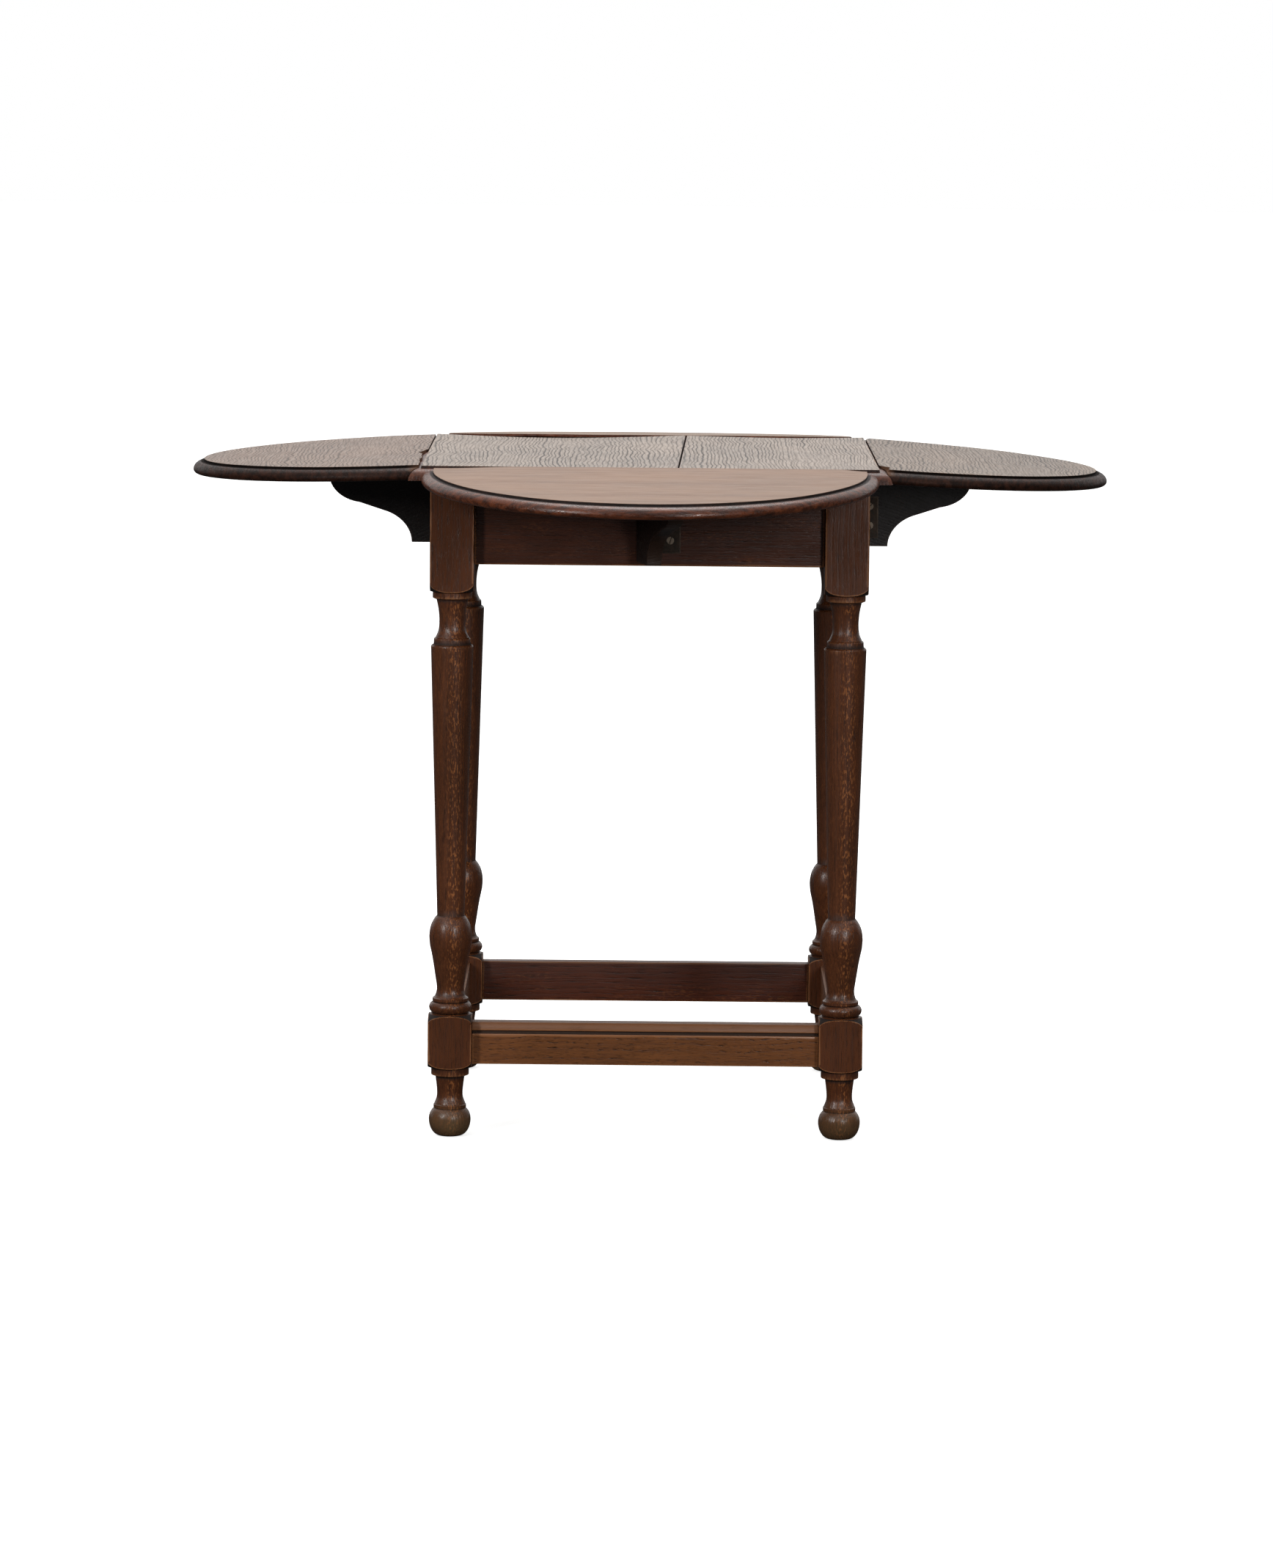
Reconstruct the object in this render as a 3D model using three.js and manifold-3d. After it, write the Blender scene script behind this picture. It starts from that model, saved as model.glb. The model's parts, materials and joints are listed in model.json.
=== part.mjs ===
// Square drop-leaf occasional table: a two-board centre top with four D-shaped leaves on rule joints,
// each leaf held up by a swinging bracket, on four turned legs with aprons and low stretchers.
// Millimetres, +Z up. Origin on the floor under the middle of the table; the front faces -Y.
import * as THREE from "three";
import { mergeVertices } from "three/addons/utils/BufferGeometryUtils.js";
import Module from "manifold-3d";

const wasm = await Module();
wasm.setup();

// ---- Driving dimensions ---------------------------------------------------------------------
const GAP = 0.3; // clearance between pieces that rest on or fit into each other

const TABLE_HEIGHT = 710;
const TOP_FIELD = 475; // flat square of the centre top, edge to edge
const TOP_THICKNESS = 15;
const OVOLO_RADIUS = 12; // convex half of the rule joint
const OVOLO_STEP = 1; // small ledge between the field and the ovolo
const BOARD_GAP = 1.2; // open joint between the two centre boards
const BOARD_JOINT_FRONT = 28.7; // where the joint meets the front edge
const BOARD_JOINT_BACK = 40.3; // where it meets the back edge

const LEAF_RADIUS = 236.5; // D-shaped end of a leaf
const LEAF_STRAIGHT = 15.8; // straight stretch between the rule joint and the D
const COVE_CLEARANCE = 0.4; // between the leaf's cove and the ovolo it turns over
const LIP_CLEARANCE = 0.5; // between the leaf's lip and the centre field
const NOSING_WIDTH = 11;
const NOSING_FILLET = 1;
const NOSING_FILLET_DEPTH = 2.7;
const NOSING_WIDEST = 4; // height of the widest line above the underside
const DROOP_DEGREES = { front: 4.3, back: 3.2, left: 2.6, right: 3.7 };

const LEG_BLOCK = 46;
const LEG_SEGMENTS = 16;
// The turned parts of a leg, as [distance in from the block's face, height above the part's start].
const FOOT_BALL = { flat: 10.5, centre: 17.5, inset: 0.9, upperHalf: 14.3, neckAngle: 58 };
const ANKLE = [[5.9, 29.8], [5.9, 33.4], [6.6, 33.8], [9.1, 41], [9.4, 48], [8.5, 57]];
const ANKLE_RING = [[7.5, -16.5], [3.1, -16], [3.1, -8.7], [0, -7.7]]; // below the lower block
const LOW_BLOCK_ENDS = { below: 3.4, above: 0.7 }; // block past the stretcher's edges
const SHOULDER = [[0, 6.9], [2.2, 8.3]]; // above the lower block
const TORUS = { centre: 6, rise: 14.5, width: 5.4, height: 6, span: 80 };
const VASE = [
  [4.3, 21],
  [4.3, 24.3],
  [7, 27],
  [8.7, 34.8],
  [7.2, 46],
  [4.1, 66],
  [1.2, 80],
  [0.5, 91],
  [2.1, 101],
  [5.7, 108.5],
  [8.6, 112.3],
];
const NECK_HEIGHT = 65.9; // top of the taper to the upper block
const NECK = [
  [0.8, 0],
  [3.5, 2],
  [3.9, 7.5],
  [5.5, 9],
  [8.7, 17],
  [9.4, 27],
  [8.6, 38],
  [6.5, 48.5],
  [2.4, 50.5],
  [2.4, 56.5],
  [0, 57.5],
];
const UPPER_BLOCK_DROP = 20.4; // upper block below the apron's lower edge
const CORNER_RISE = 0.8; // a block's end to the height where its corners are whole
const LATHE_MARGIN = 1; // the lathe runs this far past a block's corners before they are cut
const APRON_DEPTH = 89.2;
const APRON_THICKNESS = 20;
const APRON_SETBACK = 13.5; // behind the leg's outer face
const STRETCHER_BOTTOM = 78;
const STRETCHER_DEPTH = 44;
const STRETCHER_THICKNESS = 21;
const STRETCHER_SETBACK = 11.5;
const STRETCHER_MOULD = { height: 8.5, width: 7, quirk: 2 };
const TENON_THICKNESS = 8;
const TENON_LENGTH = 15;
const TENON_SHOULDER = 9; // above and below each tenon

const BRACKET_THICKNESS = 16;
const BRACKET_FOOT = 41; // length of the bracket's lower edge, out from the apron
const BRACKET_FOOT_RISE = 4.5; // above the apron's lower edge
const BRACKET_TIP_DEPTH = 8; // straight end below the leaf
const BRACKET_TOP_SLACK = 1.2; // extra room under the top at the apron end
const BRACKET_HOLLOW = { rise: 32.7, reach: 26, pulls: [[0, -19], [10, -6]] }; // from the foot's end
const BRACKET_SWELL = { rise: 42.5, reach: 33, pulls: [[-17, 2], [-1.5, 12]] }; // back from the tip
const BRACKET_OFFSET = { front: -6.5, back: 0, left: 0, right: 0 };
const BRACKET_SWING_DEGREES = { front: 16, back: 0, left: 0, right: 0 };
const FOLD_CLEARANCE = 2.3; // between a folded bracket and a hanging leaf
const FOLDED_TIP_CLEARANCE = 10.8; // between a folded bracket's tip and the leaf hinge

const BRACKET_HINGE_HEIGHT = 45;
const BRACKET_HINGE_RISE = 13.5; // above the apron's lower edge
const BRACKET_HINGE_WIDTH = 28; // knuckle axis to the plate's free edge
const BRACKET_PLATE = 1.8;
const BRACKET_KNUCKLE_RADIUS = 2.3;
const BRACKET_PIN_RADIUS = 1.1;

const LEAF_HINGE_LENGTH = 32;
const LEAF_HINGE_TO_LEG = 1.5;
const LEAF_HINGE_TOP_FLAP = 21;
const LEAF_HINGE_LEAF_FLAP = 37;
const LEAF_HINGE_PLATE = 1.6;
const LEAF_KNUCKLE_RADIUS = 2.6;
const LEAF_KNUCKLE_SHARE = 0.38; // middle knuckle's share of the hinge's length
const LEAF_PIN_RADIUS = 1.2;

const GLUE_BLOCK = { width: 60, thickness: 20, depth: 54 };

// ---- Places worked out from them ------------------------------------------------------------
const UNDERSIDE = TABLE_HEIGHT - TOP_THICKNESS;
const FRAME_TOP = UNDERSIDE - GAP;
const HALF_FIELD = TOP_FIELD / 2;
const PIVOT = HALF_FIELD + OVOLO_STEP; // rule joint axis, out from the middle
const TOP_HALF = PIVOT + OVOLO_RADIUS;
const KNUCKLE_OFFSET = BRACKET_KNUCKLE_RADIUS + GAP; // bracket hinge axis, off both faces
const APRON_FACE = PIVOT - FOLD_CLEARANCE - BRACKET_THICKNESS - 2 * KNUCKLE_OFFSET;
const LEG_FACE = APRON_FACE + APRON_SETBACK;
const LEG_AXIS = LEG_FACE - LEG_BLOCK / 2;
const LEG_INNER = LEG_FACE - LEG_BLOCK;
const APRON_BOTTOM = FRAME_TOP - APRON_DEPTH;
const STRETCHER_FACE = LEG_FACE - STRETCHER_SETBACK;
const LEAF_HINGE_PLACE = LEG_INNER - LEAF_HINGE_TO_LEG - LEAF_HINGE_LENGTH / 2;
const BRACKET_KNUCKLE = BRACKET_THICKNESS / 2 + KNUCKLE_OFFSET;
const BRACKET_REACH =
  LEAF_HINGE_PLACE - LEAF_HINGE_LENGTH / 2 - FOLDED_TIP_CLEARANCE - BRACKET_KNUCKLE;
const BRACKET_BOTTOM = APRON_BOTTOM + BRACKET_FOOT_RISE;

// Each side of the table is drawn with +X outwards and +Y along the apron, then turned into place.
// fold is the way its bracket swings along the apron.
const SIDES = [
  { name: "front", turn: -Math.PI / 2, fold: 1 },
  { name: "right", turn: 0, fold: -1 },
  { name: "back", turn: Math.PI / 2, fold: 1 },
  { name: "left", turn: Math.PI, fold: -1 },
];
const LEGS = [
  { name: "front_left", x: -1, y: -1 },
  { name: "front_right", x: 1, y: -1 },
  { name: "back_left", x: -1, y: 1 },
  { name: "back_right", x: 1, y: 1 },
];

// ---- Materials ------------------------------------------------------------------------------
const MATERIALS = {
  top_oak: new THREE.MeshStandardMaterial({ color: 0x6f6058, roughness: 0.55, metalness: 0 }),
  leaf_oak: new THREE.MeshStandardMaterial({ color: 0x6b5547, roughness: 0.5, metalness: 0 }),
  frame_oak: new THREE.MeshStandardMaterial({ color: 0x452d20, roughness: 0.38, metalness: 0 }),
  bracket_oak: new THREE.MeshStandardMaterial({ color: 0x4a3226, roughness: 0.45, metalness: 0 }),
  block_oak: new THREE.MeshStandardMaterial({ color: 0x8a6a4c, roughness: 0.75, metalness: 0 }),
  hinge_iron: new THREE.MeshStandardMaterial({ color: 0x2b2623, roughness: 0.5, metalness: 0.85 }),
};

// ---- Helpers --------------------------------------------------------------------------------
const radians = THREE.MathUtils.degToRad;

function solid(geometry) {
  const bare = geometry.clone();
  bare.deleteAttribute("normal");
  bare.deleteAttribute("uv");
  const merged = mergeVertices(bare, 1e-4);
  const mesh = new wasm.Mesh({
    numProp: 3,
    vertProperties: new Float32Array(merged.attributes.position.array),
    triVerts: new Uint32Array(merged.index.array),
  });
  return new wasm.Manifold(mesh);
}

function geometryOf(manifold) {
  const mesh = manifold.getMesh();
  const geometry = new THREE.BufferGeometry();
  geometry.setAttribute("position", new THREE.BufferAttribute(mesh.vertProperties, 3));
  geometry.setIndex(new THREE.BufferAttribute(mesh.triVerts, 1));
  const flat = geometry.toNonIndexed();
  flat.computeVertexNormals();
  return flat;
}

function box(x, y, z) {
  const geometry = new THREE.BoxGeometry(x[1] - x[0], y[1] - y[0], z[1] - z[0]);
  return geometry.translate((x[0] + x[1]) / 2, (y[0] + y[1]) / 2, (z[0] + z[1]) / 2);
}

function rod(radius, from, to, segments = 12) {
  const geometry = new THREE.CylinderGeometry(radius, radius, to - from, segments);
  return geometry.translate(0, (from + to) / 2, 0); // along +Y
}

function uprightRod(radius, from, to, segments = 12) {
  return rod(radius, from, to, segments).rotateX(Math.PI / 2);
}

// A closed outline given as [x, z] pairs, drawn out along Y from one value to another.
function prismAlongY(outline, from, to) {
  const shape = new THREE.Shape(outline.map(([x, z]) => new THREE.Vector2(x, z)));
  const geometry = new THREE.ExtrudeGeometry(shape, { depth: to - from, bevelEnabled: false });
  return geometry.rotateX(Math.PI / 2).translate(0, to, 0);
}

function arc(cx, cz, rx, rz, fromDegrees, toDegrees, steps) {
  return Array.from({ length: steps + 1 }, (_, i) => {
    const a = radians(fromDegrees + ((toDegrees - fromDegrees) * i) / steps);
    return [cx + rx * Math.cos(a), cz + rz * Math.sin(a)];
  });
}

function bezier(start, control1, control2, end, steps) {
  const curve = new THREE.CubicBezierCurve(
    ...[start, control1, control2, end].map(([x, z]) => new THREE.Vector2(x, z)),
  );
  return curve.getPoints(steps).map((p) => [p.x, p.y]);
}

function named(name, geometry, slot) {
  const mesh = new THREE.Mesh(geometry, MATERIALS[slot]);
  mesh.name = name;
  return mesh;
}

// ---- Centre top -----------------------------------------------------------------------------
function topSection() {
  const right = [
    [TOP_HALF, 0],
    ...arc(PIVOT, 0, OVOLO_RADIUS, OVOLO_RADIUS, 0, 90, 6).slice(1),
    [HALF_FIELD, OVOLO_RADIUS],
    [HALF_FIELD, TOP_THICKNESS],
  ];
  const left = right.map(([x, z]) => [-x, z]).reverse();
  return [...right, ...left];
}

function topBoards() {
  const along = prismAlongY(topSection(), -TOP_HALF, TOP_HALF);
  const across = along.clone().rotateZ(Math.PI / 2);
  let top = solid(along).intersect(solid(across));
  for (const side of SIDES) {
    for (const end of [-1, 1]) {
      const middle = end * LEAF_HINGE_PLACE;
      const half = LEAF_HINGE_LENGTH / 2 + GAP;
      const channel = rod(LEAF_KNUCKLE_RADIUS + GAP, middle - half, middle + half);
      channel.translate(PIVOT, 0, 0).rotateZ(side.turn);
      top = top.subtract(solid(channel));
    }
  }
  return [-1, 1].map((half) => {
    const edge = (BOARD_GAP / 2) * half;
    const front = BOARD_JOINT_FRONT + edge;
    const back = BOARD_JOINT_BACK + edge;
    const slope = (back - front) / (2 * TOP_HALF);
    const reach = TOP_HALF + OVOLO_RADIUS;
    const far = half * reach;
    const corners = [
      new THREE.Vector2(front - slope * OVOLO_RADIUS, -reach),
      new THREE.Vector2(back + slope * OVOLO_RADIUS, reach),
      new THREE.Vector2(far, reach),
      new THREE.Vector2(far, -reach),
    ];
    const keep = new THREE.ExtrudeGeometry(new THREE.Shape(corners), {
      depth: TOP_THICKNESS * 3,
      bevelEnabled: false,
    });
    keep.translate(0, 0, -TOP_THICKNESS);
    const mesh = named(
      half < 0 ? "top_board_left" : "top_board_right",
      geometryOf(top.intersect(solid(keep))),
      "top_oak",
    );
    mesh.position.z = UNDERSIDE;
    return mesh;
  });
}

// ---- Leaves ---------------------------------------------------------------------------------
// Skins a stack of rings with the same number of points each, and caps both ends.
function loft(rings) {
  const count = rings[0].length;
  const positions = rings.flat().flatMap((p) => [p.x, p.y, p.z]);
  const index = [];
  for (let level = 0; level < rings.length - 1; level++) {
    for (let i = 0; i < count; i++) {
      const a = level * count + i;
      const b = level * count + ((i + 1) % count);
      index.push(a, b, b + count, a, b + count, a + count);
    }
  }
  const last = (rings.length - 1) * count;
  for (let i = 1; i < count - 1; i++) {
    index.push(0, i + 1, i);
    index.push(last, last + i, last + i + 1);
  }
  const geometry = new THREE.BufferGeometry();
  geometry.setAttribute("position", new THREE.Float32BufferAttribute(positions, 3));
  geometry.setIndex(index);
  return geometry;
}

// Distance in from the leaf's outermost line, at each height above its underside.
function leafEdge() {
  const nosingHeight = TOP_THICKNESS - NOSING_FILLET_DEPTH - NOSING_WIDEST;
  const fillet = NOSING_WIDTH + NOSING_FILLET;
  return [
    ...arc(NOSING_WIDEST, NOSING_WIDEST, NOSING_WIDEST, NOSING_WIDEST, 270, 180, 2),
    ...arc(NOSING_WIDTH, NOSING_WIDEST, NOSING_WIDTH, nosingHeight, 180, 90, 5).slice(1),
    [fillet, NOSING_WIDEST + nosingHeight],
    [fillet, TOP_THICKNESS],
  ];
}

// Drawn from the rule joint's axis: +X outwards, the underside at z = 0.
function leafGeometry() {
  const steps = 28;
  const back = -LEAF_STRAIGHT;
  const rings = leafEdge().map(([inset, z]) => {
    const radius = LEAF_RADIUS - inset;
    const end = arc(LEAF_STRAIGHT, 0, radius, radius, -90, 90, steps);
    const outline = [[back, -radius], ...end, [back, radius]];
    return outline.map(([x, y]) => new THREE.Vector3(x, y, z));
  });
  const cove = OVOLO_RADIUS + COVE_CLEARANCE;
  const lip = -OVOLO_STEP + LIP_CLEARANCE;
  const far = LEAF_RADIUS + OVOLO_RADIUS;
  const cuts = [
    rod(cove, -far, far, 32),
    box([back * 2, lip], [-far, far], [-TOP_THICKNESS, TOP_THICKNESS * 2]),
    box([lip - OVOLO_STEP, 0], [-far, far], [-TOP_THICKNESS, cove]),
  ];
  return geometryOf(cuts.reduce((leaf, cut) => leaf.subtract(solid(cut)), solid(loft(rings))));
}

// ---- Legs -----------------------------------------------------------------------------------
// Radius against height, from the floor up. Blocks are turned to their corners' radius here and
// squared afterwards, which leaves the rounded shoulders at each end of a block.
function legProfile() {
  const half = LEG_BLOCK / 2;
  const corner = half * Math.SQRT2 + LATHE_MARGIN;
  const lowEnd = STRETCHER_BOTTOM + LOW_BLOCK_ENDS.below;
  const lowTop = STRETCHER_BOTTOM + STRETCHER_DEPTH + LOW_BLOCK_ENDS.above;
  const upperEnd = APRON_BOTTOM - UPPER_BLOCK_DROP;
  const { flat, centre, inset, upperHalf, neckAngle } = FOOT_BALL;
  const ball = half - inset - flat;
  const turned = (points, start) => points.map(([off, rise]) => [half - off, start + rise]);
  return [
    [0, 0],
    ...arc(flat, centre, ball, centre, -90, 0, 4),
    ...arc(flat, centre, ball, upperHalf, 0, neckAngle, 3).slice(1),
    ...turned(ANKLE, 0),
    ...turned(ANKLE_RING, lowEnd),
    [corner, lowEnd + CORNER_RISE],
    [corner, lowTop - CORNER_RISE],
    ...turned(SHOULDER, lowTop),
    ...arc(half - TORUS.centre, lowTop + TORUS.rise, TORUS.width, TORUS.height, -TORUS.span, TORUS.span, 4),
    ...turned(VASE, lowTop),
    ...turned(NECK, upperEnd - NECK_HEIGHT),
    [corner, upperEnd + CORNER_RISE],
    [corner, FRAME_TOP],
    [0, FRAME_TOP],
  ];
}

// The two rails that meet a leg: their inset from its outer face, and the height of their tenons.
function railTenons() {
  return [
    {
      centre: APRON_FACE - APRON_THICKNESS / 2,
      low: APRON_BOTTOM + TENON_SHOULDER,
      high: FRAME_TOP - TENON_SHOULDER,
    },
    {
      centre: STRETCHER_FACE - STRETCHER_THICKNESS / 2,
      low: STRETCHER_BOTTOM + TENON_SHOULDER,
      high: STRETCHER_BOTTOM + STRETCHER_DEPTH - TENON_SHOULDER,
    },
  ];
}

function legGeometry(corner) {
  const half = LEG_BLOCK / 2;
  const turned = new THREE.LatheGeometry(
    legProfile().map(([r, z]) => new THREE.Vector2(r, z)),
    LEG_SEGMENTS,
  );
  turned.rotateX(Math.PI / 2).rotateZ(Math.PI / LEG_SEGMENTS);
  let leg = solid(turned).intersect(solid(box([-half, half], [-half, half], [-1, TABLE_HEIGHT])));
  for (const tenon of railTenons()) {
    const off = tenon.centre - LEG_AXIS;
    const across = TENON_THICKNESS / 2 + GAP;
    const depth = half - TENON_LENGTH - GAP;
    const span = [tenon.low - GAP, tenon.high + GAP];
    const sideways = [off - across, off + across].map((v) => v * corner.y).sort((a, b) => a - b);
    const inwards = [-depth, -half - 1].map((v) => v * corner.x).sort((a, b) => a - b);
    leg = leg.subtract(solid(box(inwards, sideways, span)));
    const sidewaysX = [off - across, off + across].map((v) => v * corner.x).sort((a, b) => a - b);
    const inwardsY = [-depth, -half - 1].map((v) => v * corner.y).sort((a, b) => a - b);
    leg = leg.subtract(solid(box(sidewaysX, inwardsY, span)));
  }
  return geometryOf(leg);
}

// ---- Rails ----------------------------------------------------------------------------------
function withTenons(rail, tenon) {
  const end = LEG_INNER + TENON_LENGTH;
  const half = TENON_THICKNESS / 2;
  const bar = box([tenon.centre - half, tenon.centre + half], [-end, end], [tenon.low, tenon.high]);
  return geometryOf(rail.add(solid(bar)));
}

function apronGeometry() {
  const end = LEG_INNER - GAP;
  const body = box([APRON_FACE - APRON_THICKNESS, APRON_FACE], [-end, end], [APRON_BOTTOM, FRAME_TOP]);
  return withTenons(solid(body), railTenons()[0]);
}

function stretcherGeometry() {
  const end = LEG_INNER - GAP;
  const top = STRETCHER_BOTTOM + STRETCHER_DEPTH;
  const { height, width, quirk } = STRETCHER_MOULD;
  const low = top - height;
  const section = [
    [STRETCHER_FACE - STRETCHER_THICKNESS, STRETCHER_BOTTOM],
    [STRETCHER_FACE, STRETCHER_BOTTOM],
    [STRETCHER_FACE, low - quirk],
    [STRETCHER_FACE - quirk / 2, low],
    [STRETCHER_FACE - quirk, low],
    ...arc(STRETCHER_FACE - width, low + quirk / 2, width - quirk / 2, height - quirk / 2, 0, 90, 4),
    [STRETCHER_FACE - STRETCHER_THICKNESS, top],
  ];
  return withTenons(solid(prismAlongY(section, -end, end)), railTenons()[1]);
}

function glueBlockGeometry() {
  const face = APRON_FACE - APRON_THICKNESS - GAP;
  const { width, thickness, depth } = GLUE_BLOCK;
  return box([face - thickness, face], [-width / 2, width / 2], [FRAME_TOP - depth, FRAME_TOP]);
}

// ---- Brackets -------------------------------------------------------------------------------
// Drawn from the hinge pin: +X outwards, +Y the way the bracket folds, heights above the floor.
function bracketGeometry(droop) {
  const back = GAP - KNUCKLE_OFFSET;
  const tip = BRACKET_REACH;
  const foot = BRACKET_FOOT - KNUCKLE_OFFSET;
  const leafAt = UNDERSIDE - (APRON_FACE + KNUCKLE_OFFSET + tip - PIVOT) * Math.sin(radians(droop));
  const tipTop = leafAt - GAP;
  const tipLow = tipTop - BRACKET_TIP_DEPTH;
  const bend = BRACKET_BOTTOM + BRACKET_HOLLOW.rise;
  const swell = BRACKET_BOTTOM + BRACKET_SWELL.rise;
  const hollowPulls = BRACKET_HOLLOW.pulls.map(([x, z]) => [foot + x, bend + z]);
  const swellPulls = BRACKET_SWELL.pulls.map(([x, z]) => [tip + x, swell + z]);
  const outline = [
    [back, BRACKET_BOTTOM],
    ...bezier([foot, BRACKET_BOTTOM], ...hollowPulls, [foot + BRACKET_HOLLOW.reach, bend], 5),
    ...bezier([tip - BRACKET_SWELL.reach, swell], ...swellPulls, [tip, tipLow], 5),
    [tip, tipTop],
    [back, FRAME_TOP - BRACKET_TOP_SLACK],
  ];
  return prismAlongY(outline, -KNUCKLE_OFFSET - BRACKET_THICKNESS, -KNUCKLE_OFFSET);
}

// Heights of the three knuckles of a bracket hinge.
function bracketKnuckles() {
  const low = APRON_BOTTOM + BRACKET_HINGE_RISE;
  const third = BRACKET_HINGE_HEIGHT / 3;
  return [low, low + third, low + 2 * third, low + BRACKET_HINGE_HEIGHT];
}

function bracketHingeBore(part) {
  const [low, , , high] = bracketKnuckles();
  return geometryOf(part.subtract(solid(uprightRod(BRACKET_PIN_RADIUS + GAP, low - 1, high + 1))));
}

function apronPlateGeometry() {
  const [low, second, third, high] = bracketKnuckles();
  const back = GAP - KNUCKLE_OFFSET;
  const thickness = [back, back + BRACKET_PLATE];
  const plate = solid(box(thickness, [0, BRACKET_HINGE_WIDTH], [low, high]))
    .add(solid(uprightRod(BRACKET_KNUCKLE_RADIUS, low, second)))
    .add(solid(uprightRod(BRACKET_KNUCKLE_RADIUS, third, high)));
  const room = BRACKET_KNUCKLE_RADIUS + GAP;
  const notch = box([-room * 2, room], [-room, room], [second - GAP, third + GAP]);
  return bracketHingeBore(plate.subtract(solid(notch)));
}

function bracketPlateGeometry() {
  const [low, second, third, high] = bracketKnuckles();
  const back = GAP - KNUCKLE_OFFSET;
  const thickness = [back, back + BRACKET_PLATE];
  const room = BRACKET_KNUCKLE_RADIUS + GAP;
  const plate = solid(box([0, BRACKET_HINGE_WIDTH], thickness, [low, high]));
  const lowNotch = box([-room, room], [-room * 2, room], [low - 1, second]);
  const highNotch = box([-room, room], [-room * 2, room], [third, high + 1]);
  const knuckle = uprightRod(BRACKET_KNUCKLE_RADIUS, second, third);
  return bracketHingeBore(
    plate.subtract(solid(lowNotch)).subtract(solid(highNotch)).add(solid(knuckle)),
  );
}

function bracketPinGeometry() {
  const [low, , , high] = bracketKnuckles();
  return uprightRod(BRACKET_PIN_RADIUS, low + GAP, high - GAP);
}

// ---- Leaf hinges ----------------------------------------------------------------------------
// Drawn from the rule joint's axis at the middle of the hinge.
function topPlateGeometry() {
  const half = LEAF_HINGE_LENGTH / 2;
  const middle = half * LEAF_KNUCKLE_SHARE + GAP;
  const thickness = [-GAP - LEAF_HINGE_PLATE, -GAP];
  const room = LEAF_KNUCKLE_RADIUS + GAP;
  return geometryOf(
    solid(box([-LEAF_HINGE_TOP_FLAP, 0], [-half, half], thickness))
      .subtract(solid(box([-room, room], [-middle, middle], [-room, room])))
      .add(solid(rod(LEAF_KNUCKLE_RADIUS, -half, -middle)))
      .add(solid(rod(LEAF_KNUCKLE_RADIUS, middle, half)))
      .add(solid(rod(LEAF_PIN_RADIUS, -half, half))),
  );
}

function leafPlateGeometry() {
  const half = LEAF_HINGE_LENGTH / 2;
  const middle = half * LEAF_KNUCKLE_SHARE;
  const thickness = [-GAP - LEAF_HINGE_PLATE, -GAP];
  const room = LEAF_KNUCKLE_RADIUS + GAP;
  return geometryOf(
    solid(box([room, LEAF_HINGE_LEAF_FLAP], [-half, half], thickness))
      .add(solid(box([0, room + 1], [-middle, middle], thickness)))
      .add(solid(rod(LEAF_KNUCKLE_RADIUS, -middle, middle)))
      .subtract(solid(rod(LEAF_PIN_RADIUS + GAP, -half, half))),
  );
}

// ---- Assembly -------------------------------------------------------------------------------
const table = new THREE.Group();
table.add(...topBoards());

for (const corner of LEGS) {
  const leg = named("leg_" + corner.name, legGeometry(corner), "frame_oak");
  leg.position.set(corner.x * LEG_AXIS, corner.y * LEG_AXIS, 0);
  table.add(leg);
}

for (const { name, turn, fold } of SIDES) {
  const side = new THREE.Group();
  side.rotation.z = turn;
  table.add(side);
  side.add(named("apron_" + name, apronGeometry(), "frame_oak"));
  side.add(named("stretcher_" + name, stretcherGeometry(), "frame_oak"));
  side.add(named("glue_block_" + name, glueBlockGeometry(), "block_oak"));

  // The leaf and its flaps turn together about the rule joint's axis.
  const joint = new THREE.Group();
  joint.position.set(PIVOT, 0, UNDERSIDE);
  const swing = new THREE.Group();
  swing.rotation.y = radians(DROOP_DEGREES[name]);
  joint.add(swing);
  side.add(joint);
  swing.add(named("leaf_" + name, leafGeometry(), "leaf_oak"));
  for (const [number, end] of [[1, -1], [2, 1]]) {
    const label = `leaf_hinge_${name}_${number}`;
    const topPlate = named(label + "_top_plate", topPlateGeometry(), "hinge_iron");
    const leafPlate = named(label + "_leaf_plate", leafPlateGeometry(), "hinge_iron");
    topPlate.position.y = end * LEAF_HINGE_PLACE;
    leafPlate.position.y = end * LEAF_HINGE_PLACE;
    joint.add(topPlate);
    swing.add(leafPlate);
  }

  // The bracket's own frame is mirrored where it folds the other way.
  const mirror = fold < 0 ? new THREE.Matrix4().makeScale(1, -1, 1) : null;
  const handed = (geometry) => (mirror ? flipped(geometry, mirror) : geometry);
  const hinge = new THREE.Group();
  hinge.position.set(APRON_FACE + KNUCKLE_OFFSET, fold * BRACKET_KNUCKLE + BRACKET_OFFSET[name], 0);
  const arm = new THREE.Group();
  arm.rotation.z = fold * radians(BRACKET_SWING_DEGREES[name]);
  hinge.add(arm);
  side.add(hinge);
  arm.add(named("bracket_" + name, handed(bracketGeometry(DROOP_DEGREES[name])), "bracket_oak"));
  const plates = `bracket_hinge_${name}`;
  arm.add(named(plates + "_bracket_plate", handed(bracketPlateGeometry()), "hinge_iron"));
  hinge.add(named(plates + "_apron_plate", handed(apronPlateGeometry()), "hinge_iron"));
  hinge.add(named(plates + "_pin", bracketPinGeometry(), "hinge_iron"));
}

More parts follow.
